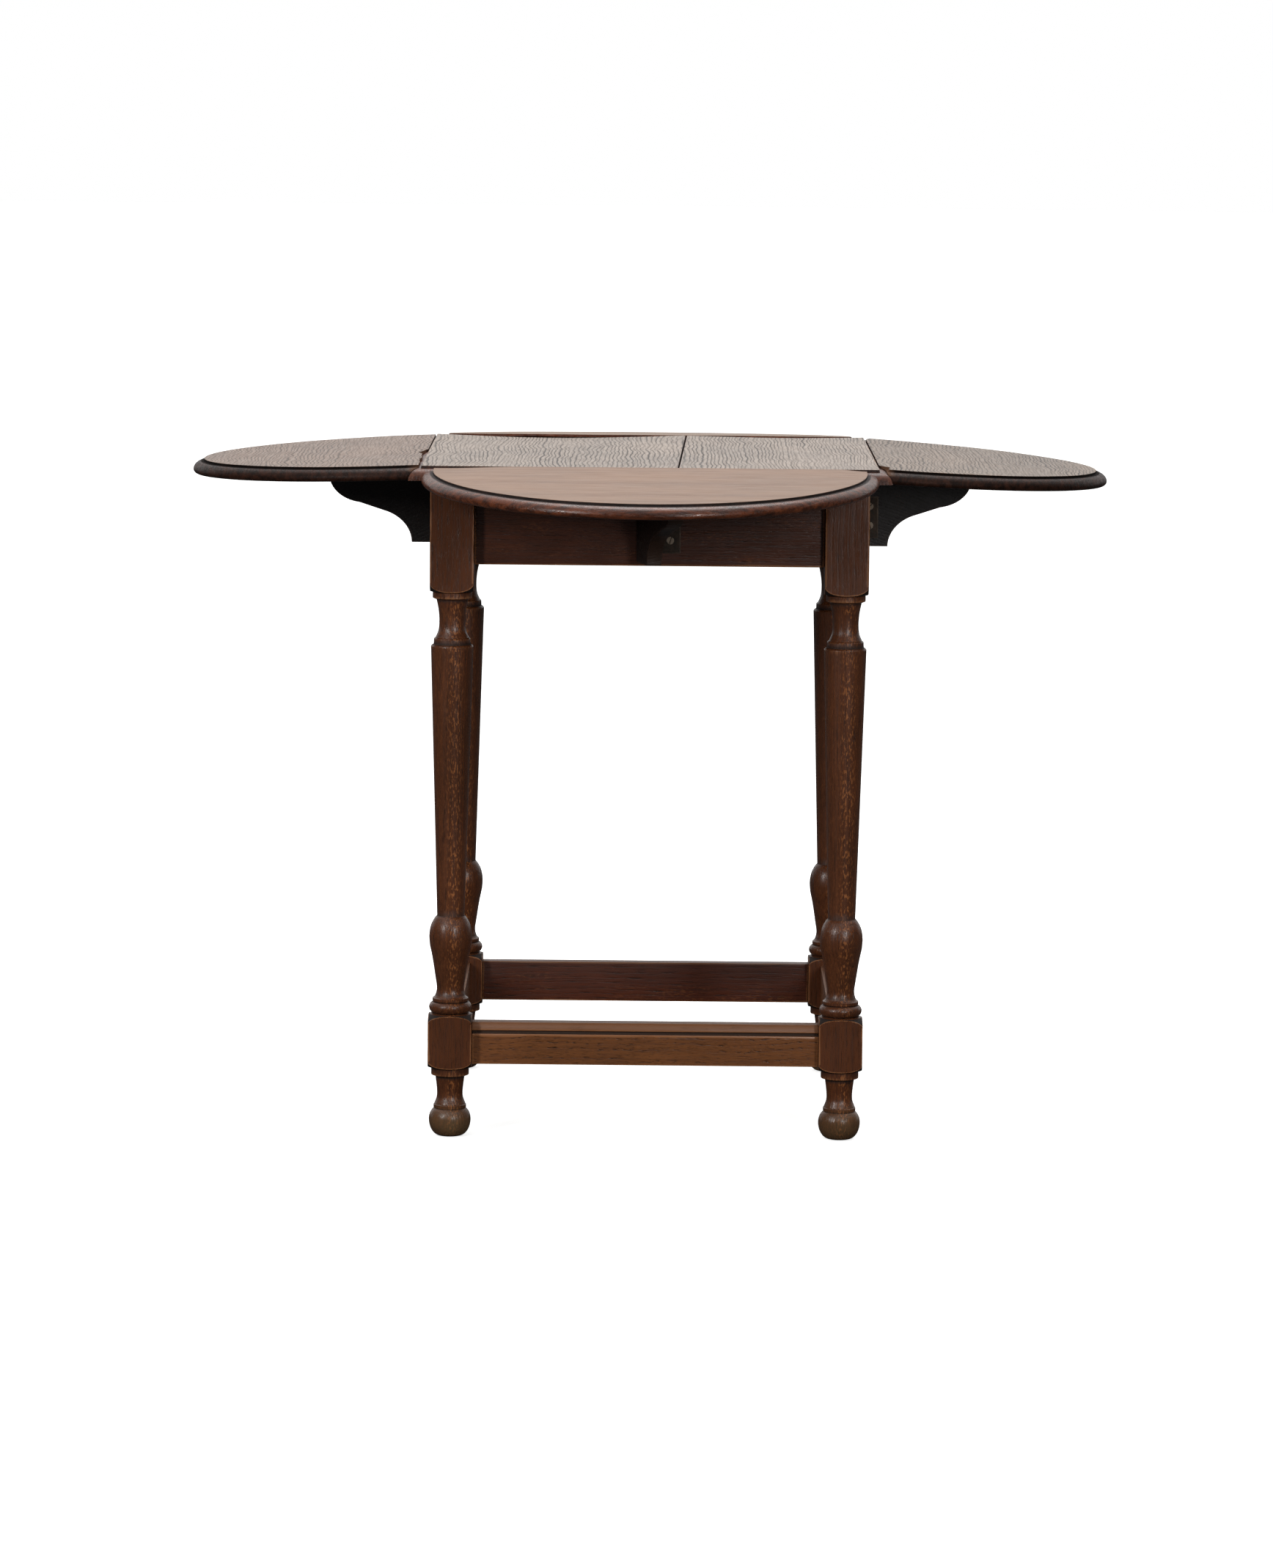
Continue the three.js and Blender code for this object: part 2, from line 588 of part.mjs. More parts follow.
// A mirrored copy of a geometry, with its faces turned to point outwards again.
function flipped(geometry, matrix) {
  const copy = (geometry.index ? geometry.toNonIndexed() : geometry.clone()).applyMatrix4(matrix);
  const place = copy.attributes.position;
  for (let i = 0; i < place.count; i += 3) {
    const [x, y, z] = [place.getX(i + 1), place.getY(i + 1), place.getZ(i + 1)];
    place.setXYZ(i + 1, place.getX(i + 2), place.getY(i + 2), place.getZ(i + 2));
    place.setXYZ(i + 2, x, y, z);
  }
  copy.computeVertexNormals();
  return copy;
}

export default table;
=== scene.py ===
"""Looks for the square drop-leaf occasional table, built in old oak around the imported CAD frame.

Lengths in this file are millimetres unless a name ends in _M. A piece is made where the CAD has it.
"""

import json
import math

import bmesh
import bpy
from mathutils import Matrix, Vector, noise

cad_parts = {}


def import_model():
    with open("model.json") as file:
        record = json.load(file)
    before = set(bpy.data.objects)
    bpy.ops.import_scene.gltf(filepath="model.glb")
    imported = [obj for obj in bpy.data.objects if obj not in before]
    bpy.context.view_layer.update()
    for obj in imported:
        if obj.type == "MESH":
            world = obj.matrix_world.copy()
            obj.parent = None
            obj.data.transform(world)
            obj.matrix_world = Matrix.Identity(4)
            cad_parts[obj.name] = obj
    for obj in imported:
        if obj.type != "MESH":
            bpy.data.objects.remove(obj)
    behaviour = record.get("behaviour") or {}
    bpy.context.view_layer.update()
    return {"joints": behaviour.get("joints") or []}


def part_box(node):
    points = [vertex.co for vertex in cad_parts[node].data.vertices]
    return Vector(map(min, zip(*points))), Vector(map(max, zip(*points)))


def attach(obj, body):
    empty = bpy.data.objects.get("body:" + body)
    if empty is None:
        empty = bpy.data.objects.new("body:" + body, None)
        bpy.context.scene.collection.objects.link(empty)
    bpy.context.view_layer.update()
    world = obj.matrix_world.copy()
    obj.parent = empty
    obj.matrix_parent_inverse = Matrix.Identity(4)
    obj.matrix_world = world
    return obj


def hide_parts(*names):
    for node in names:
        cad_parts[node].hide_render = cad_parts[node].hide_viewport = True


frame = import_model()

MM = 0.001
JOINTS = {joint["name"]: joint for joint in frame["joints"]}


def box_mm(node):
    low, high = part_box(node)
    return [v / MM for v in low], [v / MM for v in high]


# ---- Sizes taken from the frame ----
LEG_LOW, LEG_HIGH = box_mm("leg_front_right")
LEG_BLOCK = LEG_HIGH[0] - LEG_LOW[0]
LEG_AXIS = (LEG_HIGH[0] + LEG_LOW[0]) / 2
LEG_INNER = LEG_LOW[0]
FRAME_TOP = LEG_HIGH[2]
APRON_LOW, APRON_HIGH = box_mm("apron_right")
STRETCHER_LOW, STRETCHER_HIGH = box_mm("stretcher_right")
BLOCK_LOW, BLOCK_HIGH = box_mm("glue_block_right")
TOP_LOW, TOP_HIGH = box_mm("top_board_right")
TOP_HALF = TOP_HIGH[0]
UNDERSIDE = TOP_LOW[2]
TOP_THICKNESS = TOP_HIGH[2] - UNDERSIDE
PIVOT = JOINTS["leaf_right_hinge"]["pos_m"][0] / MM
LEAF_RADIUS = box_mm("leaf_right")[1][1]
BRACKET_LOW, BRACKET_HIGH = box_mm("bracket_right")
BRACKET_THICKNESS = BRACKET_HIGH[1] - BRACKET_LOW[1]
BRACKET_PIN = Vector(JOINTS["bracket_right_hinge"]["pos_m"]) / MM
PLATE_LOW, PLATE_HIGH = box_mm("bracket_hinge_right_apron_plate")
FLAP_LOW, FLAP_HIGH = box_mm("leaf_hinge_right_1_top_plate")

# ---- Sizes of the finer shapes ----
GAP = 0.3
TENON_LENGTH, TENON_THICKNESS, TENON_SHOULDER = 15, 8, 9
OVOLO_RADIUS = 12
LEAF_STRAIGHT = 15.8
COVE_RADIUS = OVOLO_RADIUS + 0.4
LIP = -0.5
NOSING_WIDTH, NOSING_FILLET, NOSING_WIDEST, NOSING_TOP = 11, 1, 4, 12.3
JOINT_FRONT, JOINT_BACK, JOINT_HALF_GAP = 28.7, 40.3, 0.6

SIDES = {
    "front": {"turn": -90, "fold": 1},
    "right": {"turn": 0, "fold": -1},
    "back": {"turn": 90, "fold": 1},
    "left": {"turn": 180, "fold": -1},
}
LEGS = {
    "front_left": (-1, -1),
    "front_right": (1, -1),
    "back_left": (-1, 1),
    "back_right": (1, 1),
}


# ---- Small helpers ----
def smooth(x):
    x = max(0.0, min(1.0, x))
    return x * x * (3 - 2 * x)


def wander(x, y=0.0, z=0.0, period=20.0, seed=0.0):
    """Smooth noise from about -1 to 1 that changes over about one period."""
    return noise.noise(Vector((x / period + seed, y / period - seed * 1.7, z / period + seed * 0.6)))


def lump(x, centre, width):
    """A smooth hump from 0 to 1, highest at its centre."""
    return math.exp(-(((x - centre) / width) ** 2))


def arc(cx, cy, rx, ry, start, end, steps):
    """Points of an ellipse's arc, in degrees."""
    turns = [math.radians(start + (end - start) * i / steps) for i in range(steps + 1)]
    return [(cx + rx * math.cos(a), cy + ry * math.sin(a)) for a in turns]


def bezier(p0, p1, p2, p3, steps):
    made = []
    for i in range(steps + 1):
        t = i / steps
        k = ((1 - t) ** 3, 3 * t * (1 - t) ** 2, 3 * t * t * (1 - t), t**3)
        made.append(tuple(sum(w * p[a] for w, p in zip(k, (p0, p1, p2, p3))) for a in (0, 1)))
    return made


def spline(points, steps):
    """A smooth curve through the points (Catmull-Rom)."""
    ends = [points[0], *points, points[-1]]
    made = []
    for near in zip(ends, ends[1:], ends[2:], ends[3:]):
        for i in range(steps):
            t, t2, t3 = [(i / steps) ** power for power in (1, 2, 3)]
            pull = (2 * t2 - t - t3, 2 - 5 * t2 + 3 * t3, t + 4 * t2 - 3 * t3, t3 - t2)
            made.append(tuple(sum(w * p[k] for w, p in zip(pull, near)) / 2 for k in (0, 1)))
    return [*made, points[-1]]


def mesh_from(bm, name):
    data = bpy.data.meshes.new(name)
    bm.to_mesh(data)
    bm.free()
    return data


def in_scene(name, data):
    """A new object, put in the scene."""
    made = bpy.data.objects.new(name, data)
    bpy.context.scene.collection.objects.link(made)
    return made


def quad(a, b, c, d, from_a, from_b):
    """A four-sided face, or two three-sided ones if it is cut from its corner a or b."""
    if from_a:
        return [(a, b, c), (a, c, d)]
    if from_b:
        return [(a, b, d), (b, c, d)]
    return [(a, b, c, d)]


class Shape:
    """A mesh being made: points in millimetres, faces, and masks with one number per point."""

    def __init__(self, *masks):
        self.points, self.faces = [], []
        self.masks = {name: [] for name in masks}

    def add(self, point, **values):
        self.points.append(Vector(point))
        for name, held in self.masks.items():
            held.append(values.get(name, 0.0))
        return len(self.points) - 1

    def skin(self, rings):
        """Joins rings of equally many point numbers with four-sided faces."""
        for low, high in zip(rings, rings[1:]):
            for i in range(len(low)):
                j = (i + 1) % len(low)
                self.faces.append((low[i], low[j], high[j], high[i]))

    def fan(self, ring, centre):
        for i, a in enumerate(ring):
            self.faces.append((a, ring[(i + 1) % len(ring)], centre))

    def mesh(self, name, weld=True):
        bm = bmesh.new()
        layers = {m: bm.verts.layers.float.new(m) for m in self.masks}
        made = [bm.verts.new(p * MM) for p in self.points]
        for m, held in self.masks.items():
            for v, value in zip(made, held):
                v[layers[m]] = value
        for face in self.faces:
            bm.faces.new([made[i] for i in face])
        if weld:
            bmesh.ops.remove_doubles(bm, verts=bm.verts, dist=0.002 * MM)
            bmesh.ops.dissolve_degenerate(bm, dist=0.002 * MM, edges=bm.edges)
        bmesh.ops.recalc_face_normals(bm, faces=bm.faces)
        return mesh_from(bm, name)


def join(meshes, name):
    """One mesh out of several, masks kept."""
    bm = bmesh.new()
    for mask in ("wear", "bare_and_glint"):
        bm.verts.layers.float.new(mask)
    for data in meshes:
        bm.from_mesh(data)
        bpy.data.meshes.remove(data)
    return mesh_from(bm, name)


def piece(name, data, material, body, slot, *nodes, crease=32):
    """Puts a mesh in the scene as the piece that stands for these CAD nodes."""
    data.shade_smooth()
    data.set_sharp_from_angle(angle=math.radians(crease))
    data.materials.append(material)
    made = in_scene(name, data)
    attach(made, body)
    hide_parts(*nodes)
    return made


def prism(outline, low, high, place, bevel=0.5, border=2.5):
    """An outline drawn out along a third direction, with worn edges.

    place(a, b, c) gives the point for outline value (a, b) at c. The mask "wear" is 1 along the edges.
    """
    bm = bmesh.new()
    wear = bm.verts.layers.float.new("wear")
    ends = [[bm.verts.new(Vector(place(a, b, c)) * MM) for a, b in outline] for c in (low, high)]
    count = len(outline)
    bm.faces.new(ends[0])
    bm.faces.new(ends[1])
    for i in range(count):
        j = (i + 1) % count
        bm.faces.new((ends[0][i], ends[0][j], ends[1][j], ends[1][i]))
    bmesh.ops.recalc_face_normals(bm, faces=bm.faces)
    made = bmesh.ops.bevel(
        bm,
        geom=[e for e in bm.edges if e.calc_face_angle() > math.radians(28)],
        offset=bevel * MM,
        offset_type="OFFSET",
        segments=2,
        profile=0.6,
        affect="EDGES",
        clamp_overlap=True,
    )
    edge_faces = set(made["faces"])
    flat = []
    for f in bm.faces:
        is_end = len(f.verts) > 12
        is_wide = min(e.calc_length() for e in f.edges) > 3 * border * MM
        if f not in edge_faces and (is_end or is_wide):
            flat.append(f)
    for f in edge_faces:
        for v in f.verts:
            v[wear] = 1.0
    bmesh.ops.inset_individual(bm, faces=flat, thickness=border * MM, use_even_offset=True)
    for f in flat:
        for v in f.verts:
            v[wear] = 0.0
    return mesh_from(bm, "prism")


def bar(x, y, z, place, bevel=0.5, border=2.5):
    """A bevelled block between pairs of values on each axis."""
    outline = [(x[0], y[0]), (x[1], y[0]), (x[1], y[1]), (x[0], y[1])]
    return prism(outline, z[0], z[1], place, bevel, border)


ROD_END_WEAR = 0.7
SCREW_SLOT = 0.9


def rod(radius, low, high, place, segments=24, chamfer=0.3):
    """A round bar along the third direction, its ends chamfered."""
    shape = Shape("wear")
    rim = radius - chamfer
    middle = 0.55 * rim
    profile = [
        (middle, low),
        (rim, low),
        (radius, low + chamfer),
        (radius, (low + high) / 2),
        (radius, high - chamfer),
        (rim, high),
        (middle, high),
    ]
    turns = [2 * math.pi * i / segments for i in range(segments)]
    rings = []
    for r, c in profile:
        wear = ROD_END_WEAR if c in (low, high) else 0.0
        rings.append([shape.add(place(r * math.cos(t), r * math.sin(t), c), wear=wear) for t in turns])
    shape.skin(rings)
    for ring, c in ((rings[0], low), (rings[-1], high)):
        shape.fan(ring, shape.add(place(0, 0, c), wear=ROD_END_WEAR))
    return shape.mesh("rod")


def screw(centre, out, turn, radius, rise):
    """A slotted countersunk screw head, seen along `out`, with its slot turned by `turn` degrees."""
    across = Matrix.Rotation(math.radians(turn), 3, out) @ out.orthogonal().normalized()
    along = out.cross(across)

    def place(a, b, c):
        return centre + across * a + along * b + out * c

    half = math.degrees(math.asin(SCREW_SLOT / 2 / radius))
    parts = [rod(radius - 0.05, -0.5, 0.12, place, segments=28, chamfer=0.1)]
    for hand in (-1, 1):
        edge = [(a, hand * b) for a, b in arc(0, 0, radius, radius, half, 180 - half, 16)]
        head = prism(edge, -0.4, rise, place, bevel=0.22, border=0.4)
        # Screw heads are marked all over. This is pale worn metal that also stands in for a painted glint.
        bare_and_glint = head.attributes.new("bare_and_glint", "FLOAT", "POINT")
        bare_and_glint.data.foreach_set("value", [1.0] * len(head.vertices))
        parts.append(head)
    return parts


# ---- Materials ----
def colour(code):
    """A linear colour from a six-figure hex code."""
    parts = [int(code[i : i + 2], 16) / 255 for i in (0, 2, 4)]
    return tuple(c / 12.92 if c <= 0.04045 else ((c + 0.055) / 1.055) ** 2.4 for c in parts) + (1,)


def colours(**codes):
    return {name: colour(code) for name, code in codes.items()}


class Graph:
    """Short calls for building the nodes of a material or of the world."""

    def __init__(self, owner, shader="ShaderNodeBsdfPrincipled", output="ShaderNodeOutputMaterial"):
        self.owner = owner
        owner.use_nodes = True
        self.tree = owner.node_tree
        self.tree.nodes.clear()
        self.shader = self.node(shader)
        self.tree.links.new(self.shader.outputs[0], self.node(output).inputs["Surface"])

    def node(self, kind, **values):
        made = self.tree.nodes.new(kind)
        for name, value in values.items():
            setattr(made, name, value)
        return made

    def set(self, socket, value):
        if isinstance(value, bpy.types.NodeSocket):
            self.tree.links.new(value, socket)
        else:
            socket.default_value = value

    def fed(self, kind, values, **settings):
        """The result of a node that has these values or links on its inputs, in order."""
        made = self.node(kind, **settings)
        for socket, value in zip(made.inputs, values):
            self.set(socket, value)
        return made.outputs[0]

    def math(self, operation, a, b=0.0, c=0.0, clamp=False):
        return self.fed("ShaderNodeMath", (a, b, c), operation=operation, use_clamp=clamp)

    def plus(self, a, b):
        return self.math("ADD", a, b)

    def minus(self, a, b):
        return self.math("SUBTRACT", a, b)

    def times(self, a, b):
        return self.math("MULTIPLY", a, b)

    def centred(self, noise_value):
        """A noise moved so that its middle is 0."""
        return self.minus(noise_value, 0.5)


    def ramp(self, value, low, high, start=0.0, end=1.0):
        """A smooth rise from start to end as value goes from low to high."""
        values = (value, low, high, start, end)
        return self.fed("ShaderNodeMapRange", values, interpolation_type="SMOOTHSTEP")

    def mix(self, factor, a, b, blend="MIX"):
        made = self.node("ShaderNodeMix", data_type="RGBA", blend_type=blend, clamp_factor=True)
        self.set(made.inputs[0], factor)
        self.set(made.inputs[6], a)
        self.set(made.inputs[7], b)
        return made.outputs[2]

    def noise(self, vector, scale=1.0, detail=2.0, roughness=0.5):
        made = self.node("ShaderNodeTexNoise")
        values = {"Vector": vector, "Scale": scale, "Detail": detail, "Roughness": roughness}
        for name, value in values.items():
            self.set(made.inputs[name], value)
        return made.outputs[0]

    def combine(self, x, y, z):
        return self.fed("ShaderNodeCombineXYZ", (x, y, z))

    def mask(self, name):
        return self.node("ShaderNodeAttribute", attribute_name=name).outputs["Fac"]

    def look(self, **sockets):
        """Sets the shader's sockets, by their names with _ for a space."""
        for name, value in sockets.items():
            self.set(self.shader.inputs[name.replace("_", " ")], value)

    def bump(self, height, strength, depth_m):
        made = self.node("ShaderNodeBump")
        made.inputs["Strength"].default_value = strength
        made.inputs["Distance"].default_value = depth_m
        self.set(made.inputs["Height"], height)
        self.set(self.shader.inputs["Normal"], made.outputs[0])


# The first colour is near black. It is painted shade in grooves, shoulders, steps and fillets, and grime
# in the boards' joint.
SHADE_AND_GRIME, DUST, TORN = colour("0d0705"), colour("7a6a4c"), colour("5f4230")
GRAIN_SHIFT = (0.37, 0.58, 0.79)


def grained(g, along, seed):
    """The object's own coordinates in metres, the first along the grain, each moved by the seed."""
    parts = g.node("ShaderNodeSeparateXYZ")
    g.set(parts.inputs[0], g.node("ShaderNodeTexCoord").outputs["Object"])
    order = {"x": (0, 1, 2), "y": (1, 0, 2), "z": (2, 0, 1)}[along]
    return [g.plus(parts.outputs[k], seed * shift) for k, shift in zip(order, GRAIN_SHIFT)]


def streaks(g, grain, lengthwise, sideways, **kind):
    """Noise that changes about `lengthwise` times a metre along the grain and `sideways` across it."""
    a, b, c = grain
    place = g.combine(g.times(a, lengthwise), g.times(b, sideways), g.times(c, sideways))
    return g.noise(place, **kind)


def early_wood(g, grain, seed, ring, pith, wave, wave_length):
    """1 in the open early wood of each growth ring and 0 in the dense late wood."""
    _, b, c = grain
    sway = g.centred(streaks(g, grain, 1 / wave_length, 14, detail=2))
    shiver = g.centred(streaks(g, grain, 1 / (wave_length * 0.27), 60, detail=1))
    sideways = g.plus(g.minus(b, seed * GRAIN_SHIFT[1] + pith[0]), g.times(sway, wave * 2))
    deep = g.minus(c, seed * GRAIN_SHIFT[2] + pith[1])
    from_pith = g.math("SQRT", g.plus(g.math("POWER", sideways, 2), g.math("POWER", deep, 2)))
    rings = g.math("DIVIDE", g.plus(from_pith, g.times(shiver, wave * 0.12)), ring * MM)
    uneven = g.noise(g.combine(g.times(rings, 0.37), 0.0, seed), detail=1)
    part = g.math("FRACT", g.plus(rings, g.times(uneven, 1.6)))
    fading, rising = g.ramp(part, 0.0, 0.34, 1.0, 0.0), g.ramp(part, 0.84, 1.0, 0.0, 1.0)
    early = g.math("ADD", fading, rising, clamp=True)
    return g.times(early, g.ramp(streaks(g, grain, 5, 22), 0.3, 0.7, 0.45, 1.0))


def flecks(g, grain, seed, stripe, plain):
    """Where pale flecks show: in patches or in one stripe along the grain, and not on plain parts."""
    if stripe:
        middle, half_width = stripe
        off = g.math("ABSOLUTE", g.minus(grain[1], seed * GRAIN_SHIFT[1] + middle))
        band = g.ramp(off, half_width, 0.0, 0.12, 1.0)
    else:
        band = g.ramp(streaks(g, grain, 9, 60), 0.45, 0.7)
    speck = g.ramp(streaks(g, grain, 210, 650, detail=2), 0.52, 0.64)
    return g.times(speck, g.times(band, g.minus(1.0, plain)))


def finished(g, grain, finish, dashes, tone, roughness):
    """Colour and roughness with the old polish that is left on edges, but not where they are torn."""
    base, deeper, polish, shine = finish
    edge = g.ramp(g.mask("edge"), 0.25, 0.6)
    torn = g.mask("torn")
    stain = streaks(g, grain, 30, 160, detail=4, roughness=0.65)
    stained = g.mix(g.ramp(stain, 0.35, 0.68), deeper, base)
    stained = g.mix(g.times(dashes, 0.5), stained, deeper)
    stained = g.mix(torn, stained, TORN)
    gloss = g.ramp(streaks(g, grain, 240, 500, detail=3), 0.35, 0.65, polish, polish + 0.16)
    gloss = g.math("MAXIMUM", gloss, g.times(torn, 0.85))
    roughness = g.plus(g.times(roughness, g.minus(1.0, edge)), g.times(gloss, edge))
    g.look(Specular_IOR_Level=g.math("MULTIPLY_ADD", edge, shine - 0.5, 0.5))
    return g.mix(edge, tone, stained), roughness


def oak(
    name,
    along,
    seed,
    light,
    dark,
    pore,
    worn,
    ring,
    wave,
    wave_length,
    line,
    pores,
    patch,
    rough,
    bump,
    pith=(0.03, -0.05),
    dash=(70, 1100),
    fleck=None,
    fleck_amount=0.0,
    stripe=None,
    finish=None,
):
    """Old oak, with its grain along one axis.

    light, dark, pore, worn and fleck are colours. ring is the width of a growth ring, and pith is where
    the rings' centre lies across the grain, in metres. wave and wave_length are how far and how slowly
    the grain sways, in metres. line, pores, patch and fleck_amount are how strongly the rings, the
    pores, the broad patches and the flecks show. dash is how many pores a metre holds along and across
    the grain. stripe is the middle and half width of a band of flecks, in metres. finish is (colour,
    deeper colour, roughness, specular level) for what the mask "edge" marks.
    """
    g = Graph(bpy.data.materials.new(name))
    grain = grained(g, along, seed)
    early = early_wood(g, grain, seed, ring, pith, wave, wave_length)
    dashes = g.ramp(streaks(g, grain, *dash, detail=2, roughness=0.6), 0.5, 0.68)
    dashes = g.times(dashes, g.math("MULTIPLY_ADD", early, 0.6, 0.4))
    fibre = streaks(g, grain, 25, 420, detail=3)
    broad = streaks(g, grain, 7, 12, detail=4, roughness=0.6)

    plain = g.mask("plain")
    striped = g.times(early, g.math("MULTIPLY_ADD", plain, -0.8 * line, line))
    tone = g.mix(striped, light, dark)
    tone = g.mix(g.times(g.ramp(fibre, 0.35, 0.75), 0.35), tone, dark)
    if fleck:
        tone = g.mix(g.times(flecks(g, grain, seed, stripe, plain), fleck_amount), tone, fleck)
    tone = g.mix(g.times(dashes, pores), tone, pore)
    shade = g.ramp(broad, 0.25, 0.75, 1.0 - patch, 1.0 + patch)
    tone = g.mix(1.0, tone, g.combine(shade, shade, shade), "MULTIPLY")

    wear = g.mask("wear")
    rubbed = g.plus(g.plus(wear, g.times(g.centred(fibre), 1.2)), g.times(g.centred(broad), 1.5))
    rubbed = g.times(g.ramp(rubbed, 0.4, 1.0), g.ramp(wear, 0.02, 0.3))
    tone = g.mix(g.times(rubbed, 0.8), tone, worn)
    dusty = g.times(g.mask("dust"), g.ramp(broad, 0.35, 0.65, 0.5, 1.0))
    tone = g.mix(g.times(dusty, 0.6), tone, DUST)
    roughness = g.ramp(g.plus(g.times(fibre, 0.6), g.times(broad, 0.4)), 0.3, 0.7, *rough)
    if finish:
        tone, roughness = finished(g, grain, finish, dashes, tone, roughness)
    # Painted shade: the mask below darkens recesses towards near black and makes them rougher. Along the
    # boards' joint it is partly grime.
    dirt = g.mask("dirt")
    tone = g.mix(g.times(dirt, 0.9), tone, SHADE_AND_GRIME)
    g.look(Base_Color=tone, Roughness=g.math("MULTIPLY_ADD", dirt, 0.5, roughness, clamp=True))

    height = g.math("MULTIPLY_ADD", early, -0.5, g.times(dashes, -0.8))
    height = g.plus(g.plus(height, g.times(fibre, 0.5)), g.times(broad, 2.0))
    g.bump(height, bump, 0.0004)
    return g.owner


def iron(name):
    """Old blackened iron, with brown rust in its hollows and worn metal on its edges. Its screw heads are
    pale worn metal that also stands in for a painted glint.
    """
    g = Graph(bpy.data.materials.new(name))
    place = g.node("ShaderNodeTexCoord").outputs["Object"]
    coarse = g.noise(place, scale=160.0, detail=4, roughness=0.65)
    fine = g.noise(place, scale=903.0, detail=3, roughness=0.6)
    bare_and_glint = g.mask("bare_and_glint")
    tone = g.mix(g.ramp(coarse, 0.35, 0.7), colour("2c261f"), colour("46372b"))
    tone = g.mix(g.times(g.ramp(fine, 0.5, 0.75), 0.5), tone, colour("5a3d2a"))
    rubbed = g.ramp(g.plus(g.mask("wear"), g.centred(coarse)), 0.5, 1.1)
    tone = g.mix(g.times(rubbed, 0.5), tone, colour("6e5f52"))
    # Painted glint: screw heads are mixed to a pale colour and made less metallic, so they read bright in
    # shade. This is partly real worn metal.
    tone = g.mix(g.times(bare_and_glint, 0.85), tone, colour("b39f8a"))
    g.look(Base_Color=tone, Metallic=g.math("MULTIPLY_ADD", bare_and_glint, -0.4, 0.55))
    g.look(Roughness=g.ramp(fine, 0.3, 0.7, 0.42, 0.66))
    g.bump(g.plus(coarse, g.times(fine, 0.4)), 0.5, 0.0002)
    return g.owner


TOP_FINISH = (colour("653620"), colour("391b10"), 0.3, 0.4)
LEAF_FINISH = (colour("6b3820"), colour("361a0f"), 0.22, 0.42)
# The side leaves' edges take a darker copy of the leaf finish, which is painted shade for how light falls
# on them, and they have less shine.
SIDE_SHADED_FINISH = (colour("3a2117"), colour("1c100b"), 0.4, 0.12)
BOARD_OAK = {
    **colours(light="a3958a", dark="4e453e", pore="3f3732", worn="9a7a60"),
    "rough": (0.5, 0.68),
    "patch": 0.14,
    "line": 1.0,
    "pores": 0.5,
    "bump": 0.4,
    "finish": TOP_FINISH,
}
FRAME_OAK = {
    **colours(light="62371f", dark="2c150b", pore="150904", worn="a06a44", fleck="a8683a"),
    "fleck_amount": 0.5,
    "ring": 3.4,
    "wave": 0.005,
    "wave_length": 0.12,
    "line": 0.22,
    "pores": 0.75,
    "patch": 0.2,
    "rough": (0.22, 0.36),
    "bump": 0.45,
}


# ---- Legs ----
HALF_BLOCK = LEG_BLOCK / 2
CORNER_ROUND = 1.3
FACE_TURNS = [0, 7, 14, 19.5, 24.5, 29, 33, 36.5, 39.5, 41.8, 43.2, 44.2, 45]
DUST_HEIGHT = 46

# A leg's outline from the floor up: turned parts as (radius, height), square ones as their two heights.
FOOT_BALL = [
    (8.5, 0),
    (10.5, 0),
    *arc(10.5, 17.5, 11.6, 17.5, -90, 0, 14)[1:],
    *arc(10.5, 17.5, 11.6, 14.3, 0, 58, 8)[1:],
]
FOOT_RING = [(16.9, 29.8), (17.2, 30.2), (17.2, 33.1), (16.9, 33.5), (16.4, 33.9)]
ANKLE = spline([(16.4, 34.2), (13.9, 41), (13.6, 48), (14.5, 57), (15.6, 64.9)], 6)
ANKLE_RING = [(19.5, 65.1), (19.9, 65.6), (19.9, 72.3), (19.5, 72.8), (21.5, 73.4)]
LOW_RISE, LOW_BLOCK, LOW_FALL = (73.7, 81.4), (82.4, 121.7), (122.7, 129.6)
TORUS = [(20.9, 130.6), (19.6, 131), *arc(17, 137.2, 5.4, 6, -75, 80, 16)]
TORUS_RING = [(18.5, 143.7), (18.8, 144.1), (18.8, 146.8), (18.4, 147.2)]
VASE_POINTS = [(17.4, 147.8), (15.6, 150.6), (14.3, 157.5), (15.8, 168.7), (18.9, 188.7), (21.8, 202.7)]
VASE_TOP = [(22.1, 205.5), (22.5, 213.7), (20.9, 223.7), (17.3, 231.2), (14.5, 234.6)]
VASE = spline(VASE_POINTS, 6) + spline(VASE_TOP, 6)
TAPER = [(14.4 + 7.8 * i / 36, 235.2 + 283.6 * i / 36) for i in range(37)]
NECK_RING = [(22.0, 519.4), (21.2, 520.4), (19.6, 521.2), (19.3, 522), (19.1, 526.7), (18.7, 527.5)]
NECK = spline([(17.5, 528.2), (14.3, 536.2), (13.6, 546.2), (14.4, 557.2), (16.6, 568.2)], 7)
TOP_RING = [(20.2, 569.6), (20.6, 570.1), (20.6, 575.3), (20.2, 575.8), (21.6, 576.4)]
TOP_RISE, TOP_BLOCK = (576.7, 585.9), (587.0, FRAME_TOP - 0.8)


def square_radius(turn):
    """Distance from a block's axis to its surface, `turn` degrees from the middle of a face."""
    a = math.radians(abs(turn))
    straight = HALF_BLOCK / math.cos(a)
    k = HALF_BLOCK - CORNER_ROUND
    if straight * math.sin(a) <= k:
        return straight
    reach = k * (math.cos(a) + math.sin(a))
    return reach + math.sqrt(max(0.0, reach * reach - 2 * k * k + CORNER_ROUND**2))


